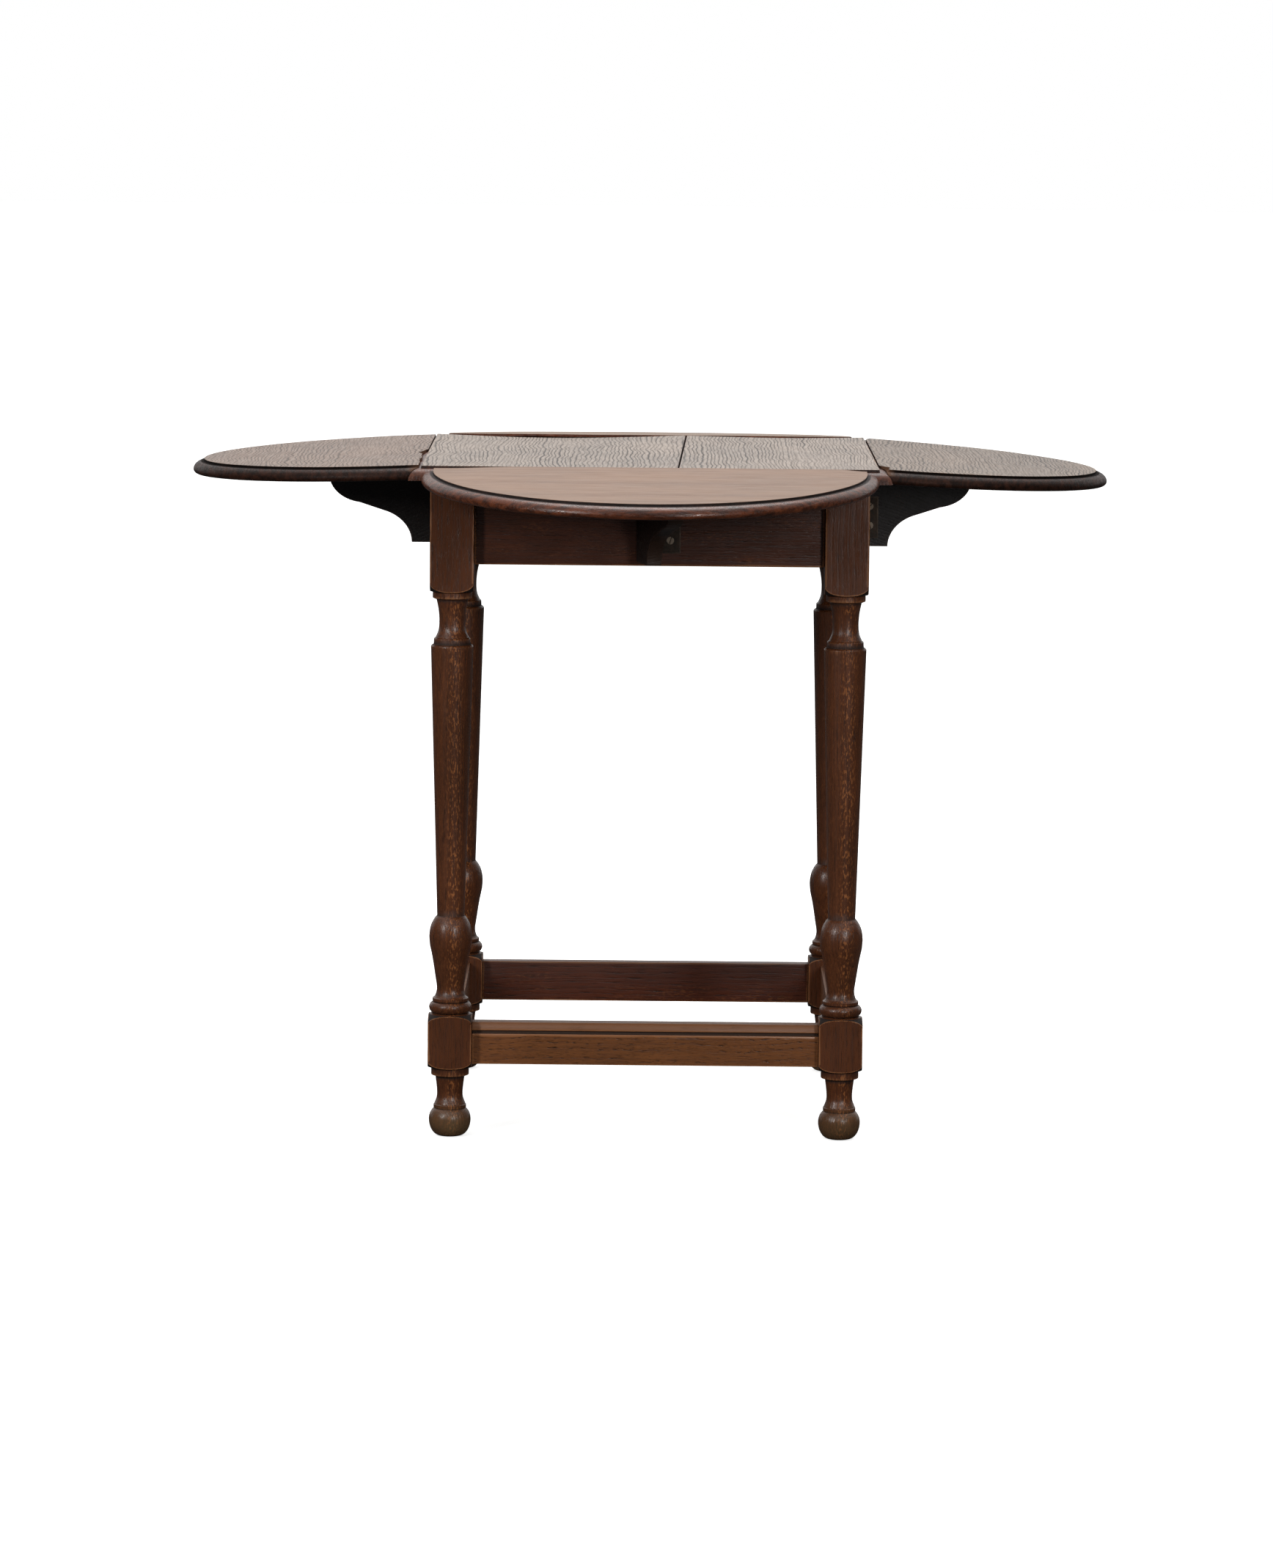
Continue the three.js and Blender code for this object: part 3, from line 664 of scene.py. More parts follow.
def shoulder(low, high, rising):
    """Rings of a turned shoulder, one for each line that crosses a block's face."""
    made = []
    first, last = math.radians(20), math.radians(78)
    for turn in FACE_TURNS:
        radius = HALF_BLOCK / math.cos(math.radians(turn))
        share = (radius - HALF_BLOCK) / (HALF_BLOCK * (math.sqrt(2) - 1))
        a = math.asin(math.sin(first) + (math.sin(last) - math.sin(first)) * share)
        rise = (math.cos(first) - math.cos(a)) / (math.cos(first) - math.cos(last))
        made.append((radius, low + (high - low) * rise, "crease"))
    if rising:
        return made
    return [(r, high - (z - low), kind) for r, z, kind in reversed(made)]


def block_run(low, high):
    """Rings of a square block, wider than its corners, so that its faces decide the shape."""
    count = max(2, round((high - low) / 6))
    return [(HALF_BLOCK * 1.6, low + (high - low) * i / count, "block") for i in range(count + 1)]


def turned(*parts):
    return [(r, z, "turned") for part in parts for r, z in part]


def leg_profile():
    """(radius, height, kind) of each ring of a leg, from the floor up."""
    return [
        *turned(FOOT_BALL, FOOT_RING, ANKLE, ANKLE_RING),
        *shoulder(*LOW_RISE, True),
        *block_run(*LOW_BLOCK),
        *shoulder(*LOW_FALL, False),
        *turned(TORUS, TORUS_RING, VASE, TAPER, NECK_RING, NECK, TOP_RING),
        *shoulder(*TOP_RISE, True),
        *block_run(*TOP_BLOCK),
    ]


def nearest_crease(profile, z, face):
    """How far from z the nearest shoulder crosses a block's face, `face` degrees from its middle."""
    radius = HALF_BLOCK / math.cos(math.radians(face))
    levels = [h for r, h, kind in profile if kind == "crease" and abs(r - radius) < 0.01]
    return min(abs(z - h) for h in levels)


def profile_wear(profile):
    """How proud of its neighbours each turned ring stands: from -1 in a groove to 1 on an edge."""
    made = []
    for r, z, kind in profile:
        if kind != "turned":
            made.append(0.0)
            continue
        near = [p[0] for p in profile if abs(p[1] - z) < 4 and p[2] == "turned"]
        proud = (r - sum(near) / len(near)) / 2.2
        made.append(smooth(proud) * 0.75 if proud > 0 else -smooth(-proud * 1.3) * 0.9)
    return made


def leg(name, corner):
    """A turned leg with square blocks. corner is the sign of its x and y."""
    shape = Shape("wear", "dirt", "dust", "plain")
    octant = [*FACE_TURNS[:-1], *[90 - t for t in FACE_TURNS[:0:-1]]]
    angles = [q + t for q in (0, 90, 180, 270) for t in octant]
    profile = leg_profile()
    cx, cy = corner[0] * LEG_AXIS, corner[1] * LEG_AXIS
    seed = 3.1 * corner[0] + 7.7 * corner[1]
    rings, on_crease = [], []
    for (radius, z, kind), bulge in zip(profile, profile_wear(profile)):
        ring, creased = [], []
        for angle in angles:
            face = min(angle % 90, 90 - angle % 90)
            limit = square_radius(face)
            r = min(radius, limit)
            # Painted shade: grooves between turned rings are darkened by how deep they sit.
            wear, dirt, on = max(0.0, bulge), max(0.0, -bulge), False
            if kind == "block":
                wear = lump(HALF_BLOCK * (1 - math.tan(math.radians(face))), 0, 2.2)
                nick = smooth((wander(z, angle, period=9, seed=seed) - 0.25) * 3) * 0.8
                r -= nick * wear + 0.12 * wander(z, angle * 3, period=60, seed=seed)
            elif kind == "crease":
                on = abs(radius - limit) < 0.02
                wear = lump(nearest_crease(profile, z, face), 0, 1.1)
                # Painted shade: the turned shoulder inside a block's face lines is darkened all over.
                dirt = 0.0 if on or radius > limit else 1.0
            a = math.radians(angle)
            at = (cx + r * math.cos(a), cy + r * math.sin(a), z)
            dust = smooth((DUST_HEIGHT - z) / 40)
            plain = 0.0 if kind == "turned" else 1.0
            ring.append(shape.add(at, wear=wear, dirt=dirt, dust=dust, plain=plain))
            creased.append(on)
        rings.append(ring)
        on_crease.append(creased)
    for low, high, low_on, high_on in zip(rings, rings[1:], on_crease, on_crease[1:]):
        for i in range(len(low)):
            j = (i + 1) % len(low)
            rising, falling = low_on[i] and high_on[j], low_on[j] and high_on[i]
            shape.faces += quad(low[i], low[j], high[j], high[i], rising, falling)
    shape.fan(rings[0], shape.add((cx, cy, 0)))
    axis = Vector((cx, cy, FRAME_TOP))
    top = []
    for n in rings[-1]:
        from_axis = shape.points[n] - axis
        top.append(shape.add(axis + Vector((from_axis.x, from_axis.y, 0)) * 0.97))
    shape.skin([rings[-1], top])
    shape.fan(top, shape.add(axis))
    looks = {**FRAME_OAK, "stripe": ((cx + 4) * MM, 0.011), "fleck_amount": 0.85, "line": 0.3}
    material = oak(f"{name}_oak", "z", seed * 0.13 + 2, pith=(0.035 + 0.004 * seed, 0.02), **looks)
    return piece(f"turned_{name}", shape.mesh(name), material, "frame", "frame_oak", name, crease=17)


# ---- Rails ----
QUIRK_DROP, QUIRK_HEIGHT, QUIRK_DEPTH = 8.5, 2.1, 2.3
APRON_OAK = {**FRAME_OAK, **colours(light="573020", dark="28130b"), "fleck_amount": 0.18, "patch": 0.3}
STRETCHER_OAK = {
    **FRAME_OAK,
    **colours(light="81502d", dark="4a2917"),
    "pores": 0.9,
    "dash": (150, 800),
    "fleck_amount": 0.3,
}
BACK_STRETCHER_OAK = {**STRETCHER_OAK, **colours(light="653422", dark="351a12"), "dash": (50, 700)}
BLOCK_OAK = {**FRAME_OAK, **colours(light="9a7650", dark="6d4f33", worn="b08d66"), "rough": (0.65, 0.85)}


def local(side):
    """Turns a side's own (out, along, up) into the table's x, y, z."""
    turn = Matrix.Rotation(math.radians(SIDES[side]["turn"]), 3, "Z")

    def place(u, v, z):
        return turn @ Vector((u, v, z))

    return place


def grain_axis(side):
    """The axis that a side's rail runs along."""
    return "y" if side in ("left", "right") else "x"


def tenoned(rail, thick, low, high, place, name):
    """A rail and its two tenons, in one mesh."""
    middle, reach = sum(thick) / 2, LEG_INNER + TENON_LENGTH
    across = (middle - TENON_THICKNESS / 2, middle + TENON_THICKNESS / 2)
    tenon = bar(across, (low + TENON_SHOULDER, high - TENON_SHOULDER), (-reach, reach), place, 0.4, 2.0)
    return join([rail, tenon], name)


def rails(side):
    """A side's apron, its stretcher and the glue block behind the apron."""
    put = local(side)
    end = LEG_INNER - GAP
    along = grain_axis(side)
    seed = 1.0 + list(SIDES).index(side)

    def upright(u, z, v):
        return put(u, v, z)

    thick, low, high = (APRON_LOW[0], APRON_HIGH[0]), APRON_LOW[2], APRON_HIGH[2]
    board = bar(thick, (low, high), (-end, end), upright, 0.7, 2.5)
    apron = tenoned(board, thick, low, high, upright, f"{side}_apron")
    material = oak(f"apron_{side}_oak", along, seed, pith=(0.02, 0.03), **APRON_OAK)
    piece(f"{side}_apron", apron, material, "frame", "frame_oak", f"apron_{side}")

    back, face = STRETCHER_LOW[0], STRETCHER_HIGH[0]
    low, high = STRETCHER_LOW[2], STRETCHER_HIGH[2]
    quirk = high - QUIRK_DROP
    outline = [
        (back, low),
        (face, low),
        (face, quirk - 5),
        *arc(face - 1.4, quirk - 4.6, 1.4, 1.8, 0, 80, 4),
        (face - QUIRK_DEPTH, quirk - 0.3 - QUIRK_HEIGHT),
        (face - QUIRK_DEPTH, quirk - 0.3),
        *arc(face - 7, quirk, 6.2, QUIRK_DROP, 3, 90, 10),
        (back, high),
    ]
    moulding = prism(outline, -end, end, upright, 0.6, 2.2)
    stretcher = tenoned(moulding, (back, face), low, high, upright, f"{side}_stretcher")
    # Painted shade in the groove under the ovolo. The ovolo above it is darkened a little as well.
    dirt = stretcher.attributes.new("dirt", "FLOAT", "POINT")
    for point, held in zip(stretcher.vertices, dirt.data):
        height = point.co.z / MM
        out = max(abs(point.co.x), abs(point.co.y)) / MM
        in_groove = quirk - 3.2 < height < quirk + 0.2 and out > back + 1
        held.value = 1.0 if in_groove else 0.35 * smooth((height - quirk) / 3)
    looks = BACK_STRETCHER_OAK if side == "back" else STRETCHER_OAK
    material = oak(f"stretcher_{side}_oak", along, seed + 9, pith=(0.02, -0.02), **looks)
    piece(f"{side}_stretcher", stretcher, material, "frame", "frame_oak", f"stretcher_{side}", crease=40)

    block = bar(*zip(BLOCK_LOW, BLOCK_HIGH), put, 1.6, 3)
    material = oak(f"glue_block_{side}_oak", along, seed + 17, **BLOCK_OAK)
    piece(f"{side}_glue_block", block, material, "frame", "block_oak", f"glue_block_{side}")


# ---- Centre top ----
CENTRE_LOOKS = {
    "left": dict(dark=colour("2f261f"), ring=4.3, pith=(0.1, 0.652), wave=0.011, wave_length=0.13),
    "right": dict(dark=colour("332a23"), ring=3.7, pith=(-0.1, 0.6), wave=0.009, wave_length=0.11),
}
HOLLOWS = {-1: (3.2, 0.35), 1: (1.3, 0.25)}
TONGUE_LOW, TONGUE_HIGH = 6, 9
FIELD_STEPS, BOARD_STEPS = 40, 22


def edge_profile():
    """Distance from the middle and height of the top's edge, from its lower corner to the field."""
    step = PIVOT - 1
    return [
        *arc(PIVOT, 0, OVOLO_RADIUS, OVOLO_RADIUS, 0, 90, 10),
        (step + 0.15, OVOLO_RADIUS + 0.02),
        (step, OVOLO_RADIUS + 0.25),
        (step, TOP_THICKNESS - 0.6),
        (step - 0.25, TOP_THICKNESS - 0.15),
        (step - 0.8, TOP_THICKNESS),
        (step - 3, TOP_THICKNESS),
    ]


def joint_at(y):
    """Where the joint between the two boards is, in x."""
    return JOINT_FRONT + (JOINT_BACK - JOINT_FRONT) * (y + TOP_HALF) / (2 * TOP_HALF)


def board_shift(hand, x, y):
    """How far an old board's surface has moved: hollow towards the back, and slightly uneven."""
    inner = joint_at(y)
    share = (x - inner) / (hand * TOP_HALF - inner)
    hollow = max(0.0, 4 * share * (1 - share))
    at_back, all_over = HOLLOWS[hand]
    depth = at_back * smooth((y + 60) / 290) + all_over
    return -depth * hollow**1.3 + 0.22 * wander(x, y, period=90, seed=hand * 3.0)


def board_columns(hand, y, edge):
    """(x, height) across a board, from its outer edge to the joint and down it.

    The left board, hand -1, has a tongue that closes most of the joint below the surface.
    """
    seam = joint_at(y) + hand * JOINT_HALF_GAP
    start = hand * edge[-1][0]
    span = seam + hand * 2 - start
    ragged = 0.25 * wander(y, period=14, seed=hand)
    columns = [(hand * d, z) for d, z in edge]
    columns += [(start + span * i / BOARD_STEPS, TOP_THICKNESS) for i in range(1, BOARD_STEPS + 1)]
    columns += [
        (seam + hand * (0.7 + ragged), TOP_THICKNESS - 0.1),
        (seam + hand * 0.1, TOP_THICKNESS - 0.6),
        (seam, TOP_THICKNESS - 3),
    ]
    if hand < 0:
        tongue = seam + 2 * JOINT_HALF_GAP - 0.1
        columns += [(seam, TONGUE_HIGH), (tongue, TONGUE_HIGH), (tongue, TONGUE_LOW), (seam, TONGUE_LOW)]
    return [*columns, (seam, 0.0)]


def centre_board(side, hand):
    edge = edge_profile()
    field, rim = edge[-1][0], edge[-3][0]
    rows = [(-d, z) for d, z in edge]
    rows += [(-field + 2 * field * i / FIELD_STEPS, TOP_THICKNESS) for i in range(1, FIELD_STEPS)]
    rows += [(d, z) for d, z in reversed(edge)]
    shape = Shape("wear", "edge", "dirt")
    grid = []
    for y, zy in rows:
        line = []
        for x, zx in board_columns(hand, y, edge):
            z = min(zx, zy)
            lifted = z * (1 + board_shift(hand, x, y) / TOP_THICKNESS)
            below_field = z < TOP_THICKNESS - 0.3
            in_step = below_field and z > OVOLO_RADIUS
            in_joint = abs(x - joint_at(y)) < JOINT_HALF_GAP + 0.05
            wear = 0.6 * lump(min(abs(abs(x) - rim), abs(abs(y) - rim)), 0, 1.5)
            # Painted shade in the step under the leaf's lip, and grime along the joint between the boards.
            dirt = 0.8 if in_step or in_joint else 0.0
            at = (x, y, UNDERSIDE + lifted)
            line.append(shape.add(at, edge=float(below_field), wear=wear, dirt=dirt))
        grid.append(line)
    last = len(grid) - 1
    for j, (near, far) in enumerate(zip(grid, grid[1:])):
        for i in range(len(near) - 1):
            in_edge = i < len(edge) - 1
            rising, falling = in_edge and j == i, in_edge and j == last - 1 - i
            shape.faces += quad(near[i], near[i + 1], far[i + 1], far[i], rising, falling)
    outer = [line[0] for line in grid]
    seam = [line[-1] for line in reversed(grid[:-1])]
    shape.faces.append((*outer, *grid[-1][1:], *seam, *reversed(grid[0][1:-1])))
    name = f"top_board_{side}"
    material = oak(f"{name}_oak", "y", 0.0, **{**BOARD_OAK, **CENTRE_LOOKS[side]})
    return piece(
        f"centre_board_{side}", shape.mesh(name), material, "frame", "top_oak", name, crease=35
    )


# ---- Leaves ----
LEAF_LOOKS = {
    "front": {
        **colours(light="90735f", dark="745745", pore="5d4638"),
        **dict(ring=7.0, pith=(-0.36, 0.4), wave=0.006, wave_length=0.16),
        **dict(line=0.35, pores=0.4, patch=0.12),
    },
    "right": {
        **colours(light="8f8074", dark="332a24"),
        **dict(ring=3.8, pith=(0.1, 0.6), wave=0.01, wave_length=0.09, finish=SIDE_SHADED_FINISH),
    },
    "back": {
        **colours(light="96806f", dark="6e5a4c"),
        **dict(ring=4.0, pith=(0.36, 0.5), wave=0.006, wave_length=0.1),
    },
    "left": {
        **colours(light="8f7c70", dark="4c3e35"),
        **dict(ring=4.0, pith=(-0.1, 0.62), wave=0.014, wave_length=0.1, finish=SIDE_SHADED_FINISH),
    },
}
# Where pieces have broken off a leaf's lip: place along it, width and depth.
LEFT_BREAKS = ((48, 22, 5.5), (96, 16, 2.2), (150, 20, 1.6))
RIGHT_SPLITS = ((86, 1.6, 4.5), (20, 1.3, 4.0), (-60, 1.4, 3.0))
LIP_STEPS, BOW_STEPS = 220, 96
FIELD_SHARES = (0.99, 0.97, 0.93, 0.87, 0.8, 0.71, 0.61, 0.5, 0.38, 0.25, 0.12)


def leaf_levels():
    """Height above the underside and distance in from the outermost line, from the bottom up."""
    low, wide = NOSING_WIDEST, NOSING_WIDTH
    fillet = NOSING_WIDTH + NOSING_FILLET
    return [
        *arc(low, low, low, low, 180, 270, 5),
        *arc(low, wide, NOSING_TOP - low, wide, -90, 0, 11)[1:],
        (NOSING_TOP + 0.02, fillet - 0.2),
        (NOSING_TOP + 0.25, fillet),
        (TOP_THICKNESS - 0.5, fillet + 0.05),
        (TOP_THICKNESS - 0.12, fillet + 0.35),
        (TOP_THICKNESS, fillet + 0.9),
    ]


def lip_at(z):
    """How far out the leaf's inner edge is at a height: the cove, then the lip over it."""
    if z < OVOLO_RADIUS + 0.2:
        return math.sqrt(COVE_RADIUS**2 - z * z)
    if z < TOP_THICKNESS - 0.3:
        return LIP
    return LIP + 0.35 * (z - TOP_THICKNESS + 0.3) / 0.3


def chips(side, v):
    """How much of the lip has broken away, at a place along it."""
    rough = 0.5 + 0.5 * abs(wander(v, period=5, seed=2.0)) + 0.5 * wander(v, period=17, seed=4.0)
    if side == "left":
        worn = 2.6 * smooth(v / 18)
        breaks = sum(depth * lump(v, place, width) for place, width, depth in LEFT_BREAKS)
        return (worn + breaks) * (0.65 + 0.5 * rough)
    if side == "right":
        front, back = 9.5 * smooth((-v - 176) / 22), 6.0 * smooth((v - 204) / 26)
        splits = sum(depth * lump(v, place, width) for place, width, depth in RIGHT_SPLITS)
        return (front + back) * (0.7 + 0.6 * rough) + splits + 0.35 * rough
    return 0.25 * rough


def leaf_shift(side, u, v):
    """How far a leaf's surface has moved: the lip of the front one has sunk at its ends."""
    shift = 0.2 * wander(u, v, period=80, seed=5.0 + len(side))
    if side == "front":
        ends = 2.3 * smooth((-v - 120) / 100) + 2.0 * smooth((v - 190) / 34)
        shift -= ends * math.exp(-u / 60)
    if side == "back":
        shift += 0.3 * math.exp(-u / 40)
    return shift


def leaf_outline(side, z, inset):
    """(out, along, torn) round a leaf at one height: its inner edge, then its bow."""
    radius = LEAF_RADIUS - inset
    base = lip_at(z)
    slant = 0.55 + 0.45 * smooth((z - 8) / 6)
    outline = []
    for i in range(LIP_STEPS + 1):
        v = -radius + 2 * radius * i / LIP_STEPS
        gone = chips(side, v)
        u = max(base, LIP + gone * slant) if z > 6 else base
        outline.append((u, v, smooth((gone - 1.2) / 1.5) if z > 9 else 0.0))
    bow = arc(LEAF_STRAIGHT, 0, radius, radius, 90, -90, BOW_STEPS)
    return outline + [(u, v, 0.0) for u, v in bow]


def droop_of(side):
    return math.radians(JOINTS[f"leaf_{side}_hinge"]["range_deg"][1])


def drooped(u, z, droop):
    """A place in a level leaf's section, after the leaf has turned down about its hinge."""
    return u * math.cos(droop) + z * math.sin(droop), z * math.cos(droop) - u * math.sin(droop)


def leaf(side):
    put, droop = local(side), droop_of(side)
    shape = Shape("wear", "edge", "torn", "dirt")

    def place(u, v, z):
        out, up = drooped(u, z * (1 + leaf_shift(side, u, v) / TOP_THICKNESS), droop)
        return put(PIVOT + out, v, UNDERSIDE + up)

    rings = []
    for z, inset in leaf_levels():
        outline = leaf_outline(side, z, inset)
        at_top = z > TOP_THICKNESS - 0.3
        in_fillet = NOSING_TOP - 0.25 < z < TOP_THICKNESS - 0.2
        ring = []
        for u, v, torn in outline:
            masks = {
                "edge": 0.0 if at_top else 1.0,
                "torn": torn * (0.3 if at_top else 1.0),
                "wear": 0.5 if at_top else 0.0,
                # Painted shade along the fillet at the top of the nosing, except where the lip is torn.
                "dirt": 1.0 - torn if in_fillet and u > LIP + 12 else 0.0,
            }
            ring.append(shape.add(place(u, v, z), **masks))
        rings.append(ring)
    shape.skin(rings)
    mid = 0.45 * LEAF_RADIUS
    rim = leaf_outline(side, *leaf_levels()[-1])
    field = []
    for share in FIELD_SHARES:
        inner = [place(mid + (u - mid) * share, v * share, TOP_THICKNESS) for u, v, _ in rim]
        field.append([shape.add(at) for at in inner])
    shape.skin([rings[-1], *field])
    shape.fan(field[-1], shape.add(place(mid, 0, TOP_THICKNESS)))
    shape.faces.append(tuple(rings[0]))
    name = f"leaf_{side}"
    looks = {**BOARD_OAK, "finish": LEAF_FINISH, **LEAF_LOOKS[side]}
    material = oak(f"{name}_oak", grain_axis(side), 0.0, **looks)
    return piece(f"drop_{name}", shape.mesh(side), material, name, "leaf_oak", name, crease=35)


# ---- Brackets and their hinges ----
BRACKET_OAK = {
    **FRAME_OAK,
    **colours(light="1b120e", dark="0e0907", worn="3d281b"),
    "fleck_amount": 0.06,
    "rough": (0.4, 0.55),
}
BRACKET_FOOT, BRACKET_TIP = 41, 8
BEND_RISE, SWELL_RISE = 32.7, 42.5
PLATE_THICKNESS, PLATE_MARGIN, KNUCKLE_ROOM = 1.8, 2.3, 2.6
BUTT_SCREW = {"radius": 3.9, "rise": 0.3}
FLAP_THICK, FLAP_FIXED, FLAP_SWINGING, FLAP_ROOM = (-1.9, -0.3), 21, 37, 2.9
FLAP_KNUCKLE, FLAP_KNUCKLE_SHARE = 2.6, 0.38
FLAP_SCREW = {"radius": 3.2, "rise": 0.4}


def bracket_frame(side, swung):
    """Turns (out from the pin, along the way it folds, up) into the table's x, y, z."""
    turn, fold = SIDES[side]["turn"], SIDES[side]["fold"]
    joint = JOINTS[f"bracket_{side}_hinge"]
    swing = -joint["range_deg"][0] * fold if swung else 0
    spin = Matrix.Rotation(math.radians(turn + swing), 3, "Z")
    pin = Vector(joint["pos_m"]) / MM

    def place(u, v, z):
        at = spin @ Vector((u, v * fold, 0))
        return Vector((pin.x + at.x, pin.y + at.y, z))

    return place


def bracket(side):
    place = bracket_frame(side, True)
    back, tip = BRACKET_LOW[0] - BRACKET_PIN.x, BRACKET_HIGH[0] - BRACKET_PIN.x
    low, high = BRACKET_LOW[2], BRACKET_HIGH[2]
    foot = back + BRACKET_FOOT - GAP
    leaf_at = UNDERSIDE - (BRACKET_PIN.x + tip - PIVOT) * math.sin(droop_of(side))
    tip_top = leaf_at - GAP
    tip_low = tip_top - BRACKET_TIP
    bend, swell = low + BEND_RISE, low + SWELL_RISE
    outline = [
        (back, low),
        *bezier((foot, low), (foot, bend - 19), (foot + 10, bend - 6), (foot + 26, bend), 16),
        *bezier((tip - 33, swell), (tip - 17, swell + 2), (tip - 1.5, swell + 12), (tip, tip_low), 14),
        (tip, tip_top),
        (back, high),
    ]

    def put(u, z, v):
        return place(u, v, z)

    data = prism(outline, back - BRACKET_THICKNESS, back, put, 0.7, 2.0)
    name = f"bracket_{side}"
    material = oak(f"{name}_oak", grain_axis(side), 5.0 + len(side), pith=(0.04, 0.02), **BRACKET_OAK)
    piece(f"ogee_{name}", data, material, name, "bracket_oak", name)


def butt_hinge(side, material):
    """The iron butt that a bracket swings on: a fixed leaf, a swinging leaf and the pin."""
    still, swung = bracket_frame(side, False), bracket_frame(side, True)
    low, high = PLATE_LOW[2], PLATE_HIGH[2]
    third = (high - low) / 3
    back = BRACKET_LOW[0] - BRACKET_PIN.x
    thick = (back, back + PLATE_THICKNESS)
    room = KNUCKLE_ROOM
    width = PLATE_HIGH[1] - PLATE_LOW[1] - PLATE_MARGIN
    radius = min(2.3, -back - 0.12)
    screw_at = width * 0.62
    screws = ((low + 0.3 * (high - low), 25), (high - 0.24 * (high - low), -35))
    wing = (0, room + 1)

    def knuckle(a, b, place):
        return rod(radius, a + 0.1, b - 0.1, place, chamfer=0.35)

    parts = [bar(thick, (room, width), (low, high), still, 0.5, 2.0)]
    ends = ((low, low + third), (low + 2 * third, high))
    parts += [bar(thick, wing, end, still, 0.3, 9) for end in ends]
    parts += [knuckle(*end, still) for end in ends]
    out = still(1, 0, 0) - still(0, 0, 0)
    for z, turn in screws:
        parts += screw(still(thick[1], screw_at, z), out, turn, **BUTT_SCREW)
    butt, node = f"bracket_butt_{side}", f"bracket_hinge_{side}"
    piece(f"{butt}_fixed", join(parts, "fixed"), material, "frame", "hinge_iron", f"{node}_apron_plate")

    parts = [
        bar((room, width), thick, (low, high), swung, 0.5, 2.0),
        bar(wing, thick, (low + third + 0.1, low + 2 * third - 0.1), swung, 0.3, 9),
        knuckle(low + third, low + 2 * third, swung),
    ]
    out = swung(0, 1, 0) - swung(0, 0, 0)
    for z, turn in screws:
        parts += screw(swung(screw_at + 1.5, thick[1], z), out, turn + 40, **BUTT_SCREW)
    body = f"bracket_{side}"
    swinging = join(parts, "swinging")
    piece(f"{butt}_swinging", swinging, material, body, "hinge_iron", f"{node}_bracket_plate")

    pin = rod(1.1, low - 0.1 + GAP, high + 0.1 - GAP, still, 16, 0.25)
    piece(f"{butt}_pin", pin, material, "frame", "hinge_iron", f"{node}_pin")


def leaf_flap(side, number, middle, material):
    """An iron flap hinge below a rule joint, its plates just under the underside."""
    put, droop = local(side), droop_of(side)
    half = (FLAP_HIGH[1] - FLAP_LOW[1]) / 2
    inner = half * FLAP_KNUCKLE_SHARE
    room = FLAP_ROOM

    def still(u, z, v):
        return put(PIVOT + u, middle + v, UNDERSIDE + z)

    def swung(u, z, v):
        out, up = drooped(u, z, droop)
        return put(PIVOT + out, middle + v, UNDERSIDE + up)

    parts = [bar((-FLAP_FIXED, -room), FLAP_THICK, (-half, half), still, 0.35, 2.0)]
    ends = ((-half, -inner - GAP), (inner + GAP, half))
    parts += [bar((-room - 1, 0), FLAP_THICK, end, still, 0.2, 9) for end in ends]
    parts += [rod(FLAP_KNUCKLE, *end, still) for end in ends]
    down = still(0, -1, 0) - still(0, 0, 0)
    for v in (-9, 9):
        parts += screw(still(-12, FLAP_THICK[0], v), down, 30 * v, **FLAP_SCREW)
    flap, node = f"leaf_flap_{side}_{number}", f"leaf_hinge_{side}_{number}"
    piece(f"{flap}_fixed", join(parts, "fixed"), material, "frame", "hinge_iron", f"{node}_top_plate")

    parts = [
        bar((room, FLAP_SWINGING), FLAP_THICK, (-half, half), swung, 0.35, 2.0),
        bar((0, room + 1), FLAP_THICK, (-inner, inner), swung, 0.2, 9),
        rod(FLAP_KNUCKLE, -inner, inner, swung),
    ]
    down = swung(0, -1, 0) - swung(0, 0, 0)
    for u, v in ((13, -9), (13, 9), (28, 0)):
        parts += screw(swung(u, FLAP_THICK[0], v), down, 20 * v + u, **FLAP_SCREW)
    body = f"leaf_{side}"
    swinging = join(parts, "swinging")
    piece(f"{flap}_swinging", swinging, material, body, "hinge_iron", f"{node}_leaf_plate")


# ---- The object ----
for leg_name, leg_corner in LEGS.items():
    leg(f"leg_{leg_name}", leg_corner)
centre_board("left", -1)
centre_board("right", 1)
IRON = iron("old_iron")
FLAP_MIDDLE = abs(FLAP_HIGH[1] + FLAP_LOW[1]) / 2
for side_name in SIDES:
    rails(side_name)
    leaf(side_name)
    bracket(side_name)
    butt_hinge(side_name, IRON)
    leaf_flap(side_name, 1, -FLAP_MIDDLE, IRON)
    leaf_flap(side_name, 2, FLAP_MIDDLE, IRON)


# ---- Floor, light and camera ----
WHITE = (1, 1, 1, 1)
FLOOR_RADII, FLOOR_LEVEL = (0.01, 400, 900, 2000, 6000, 30000), -0.3
FLOOR_BOUNCE, FLOOR_GLOW = (0.06, 0.06, 0.06, 1), 0.7
ROOM_LIGHT, CEILING_LIGHT, BACKDROP_LIGHT = 0.05, 0.9, 0.8
# Name, degrees to the right of the camera's side, height, distance, width and height, power.
LIGHTS = (
    ("key", -40, 1750, 3600, (450, 1300), 46),
    ("fill", 22, 1350, 3900, (400, 1200), 34),
    ("overhead", 175, 3200, 900, (1800, 1800), 42),
)
LIGHT_AIM = Vector((0, 0, 450))
CAMERA_AT = Vector((-5.6, -6434.9, 1180.1))
LENS, PITCH, ROLL, YAW = 137.57, 7.362, 0.525, 0.054


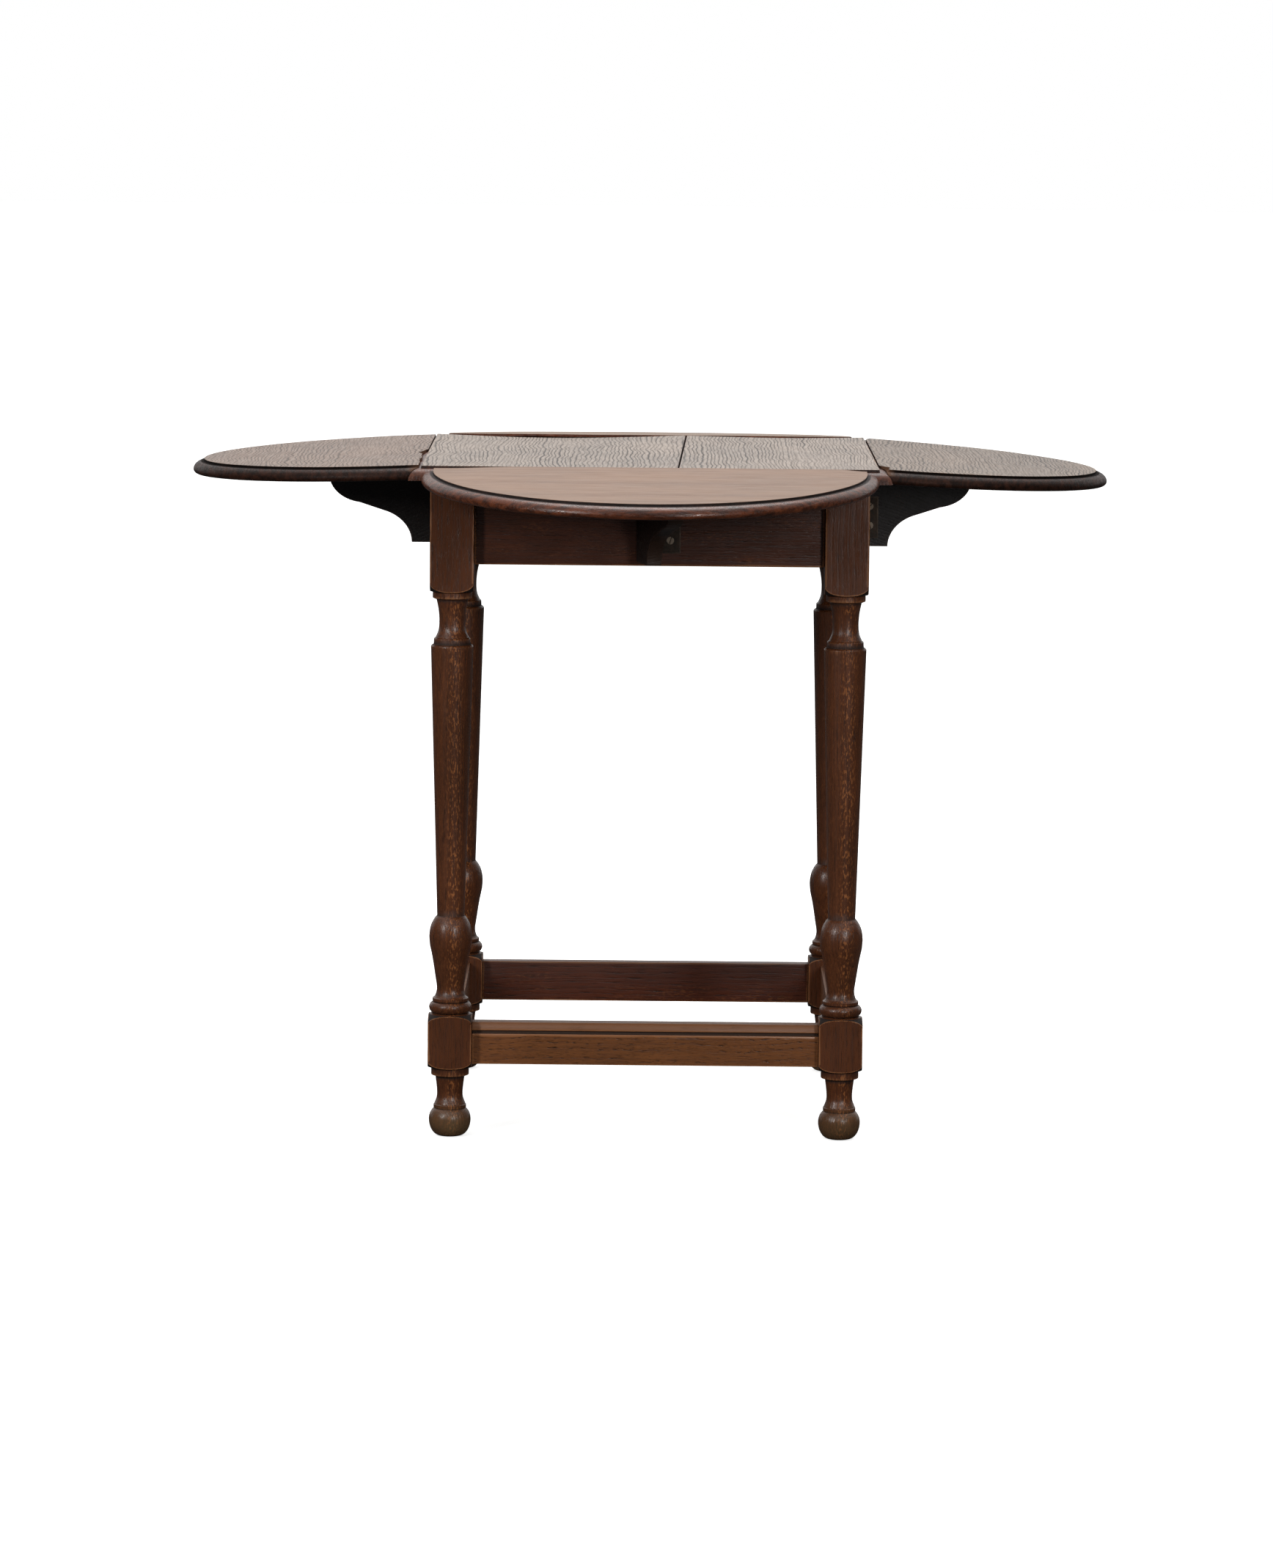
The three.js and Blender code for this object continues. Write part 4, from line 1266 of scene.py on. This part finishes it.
def floor():
    shape = Shape()
    rings = []
    for radius in FLOOR_RADII:
        turns = [2 * math.pi * i / 64 for i in range(64)]
        rings.append([shape.add((radius * math.cos(t), radius * math.sin(t), FLOOR_LEVEL)) for t in turns])
    shape.skin(rings)
    data = shape.mesh("floor", weld=False)
    g = Graph(bpy.data.materials.new("pale_floor"))
    place = g.node("ShaderNodeTexCoord").outputs["Object"]
    tone = g.mix(g.noise(place, 3.0, 3), colour("f6f6f4"), colour("fcfcfa"))
    seen = g.node("ShaderNodeLightPath").outputs["Is Camera Ray"]
    g.look(Base_Color=g.mix(seen, FLOOR_BOUNCE, tone), Roughness=0.9, Specular_IOR_Level=0.0)
    g.look(Emission_Color=WHITE, Emission_Strength=g.times(seen, FLOOR_GLOW))
    data.materials.append(g.owner)
    in_scene("floor", data)


def world():
    """A bright ceiling and backdrop, and a dim studio in front. What the camera sees of it is white."""
    made = bpy.data.worlds.new("studio")
    bpy.context.scene.world = made
    g = Graph(made, "ShaderNodeBackground", "ShaderNodeOutputWorld")
    way = g.node("ShaderNodeSeparateXYZ")
    g.set(way.inputs[0], g.node("ShaderNodeTexCoord").outputs["Generated"])
    ceiling = g.ramp(way.outputs["Z"], 0.3, 0.95, ROOM_LIGHT, CEILING_LIGHT)
    behind = g.ramp(way.outputs["Y"], 0.25, 0.9, 0.0, BACKDROP_LIGHT)
    above = g.ramp(way.outputs["Z"], -0.02, 0.03, 0.0, 1.0)
    lit = g.plus(ceiling, g.times(behind, above))
    seen = g.node("ShaderNodeLightPath").outputs["Is Camera Ray"]
    g.look(Color=WHITE, Strength=g.math("MAXIMUM", seen, lit))


def softbox(name, azimuth, height, distance, size, power):
    data = bpy.data.lights.new(name, "AREA")
    data.shape = "RECTANGLE"
    data.size, data.size_y = size[0] * MM, size[1] * MM
    data.energy = power
    made = in_scene(name, data)
    a = math.radians(azimuth)
    at = Vector((math.sin(a) * distance, -math.cos(a) * distance, height))
    made.location = at * MM
    made.rotation_euler = (LIGHT_AIM - at).to_track_quat("-Z", "Y").to_euler()


def camera():
    data = bpy.data.cameras.new("camera")
    data.sensor_width = 36
    data.lens = LENS
    data.clip_start, data.clip_end = 0.1, 100
    made = in_scene("camera", data)
    turn = Matrix.Rotation(math.radians(YAW), 4, "Z")
    turn = turn @ Matrix.Rotation(math.radians(90 - PITCH), 4, "X")
    turn = turn @ Matrix.Rotation(math.radians(ROLL), 4, "Z")
    made.matrix_world = Matrix.Translation(CAMERA_AT * MM) @ turn
    bpy.context.scene.camera = made


floor()
world()
for light in LIGHTS:
    softbox(*light)
camera()
bpy.context.scene.view_settings.view_transform = "Standard"
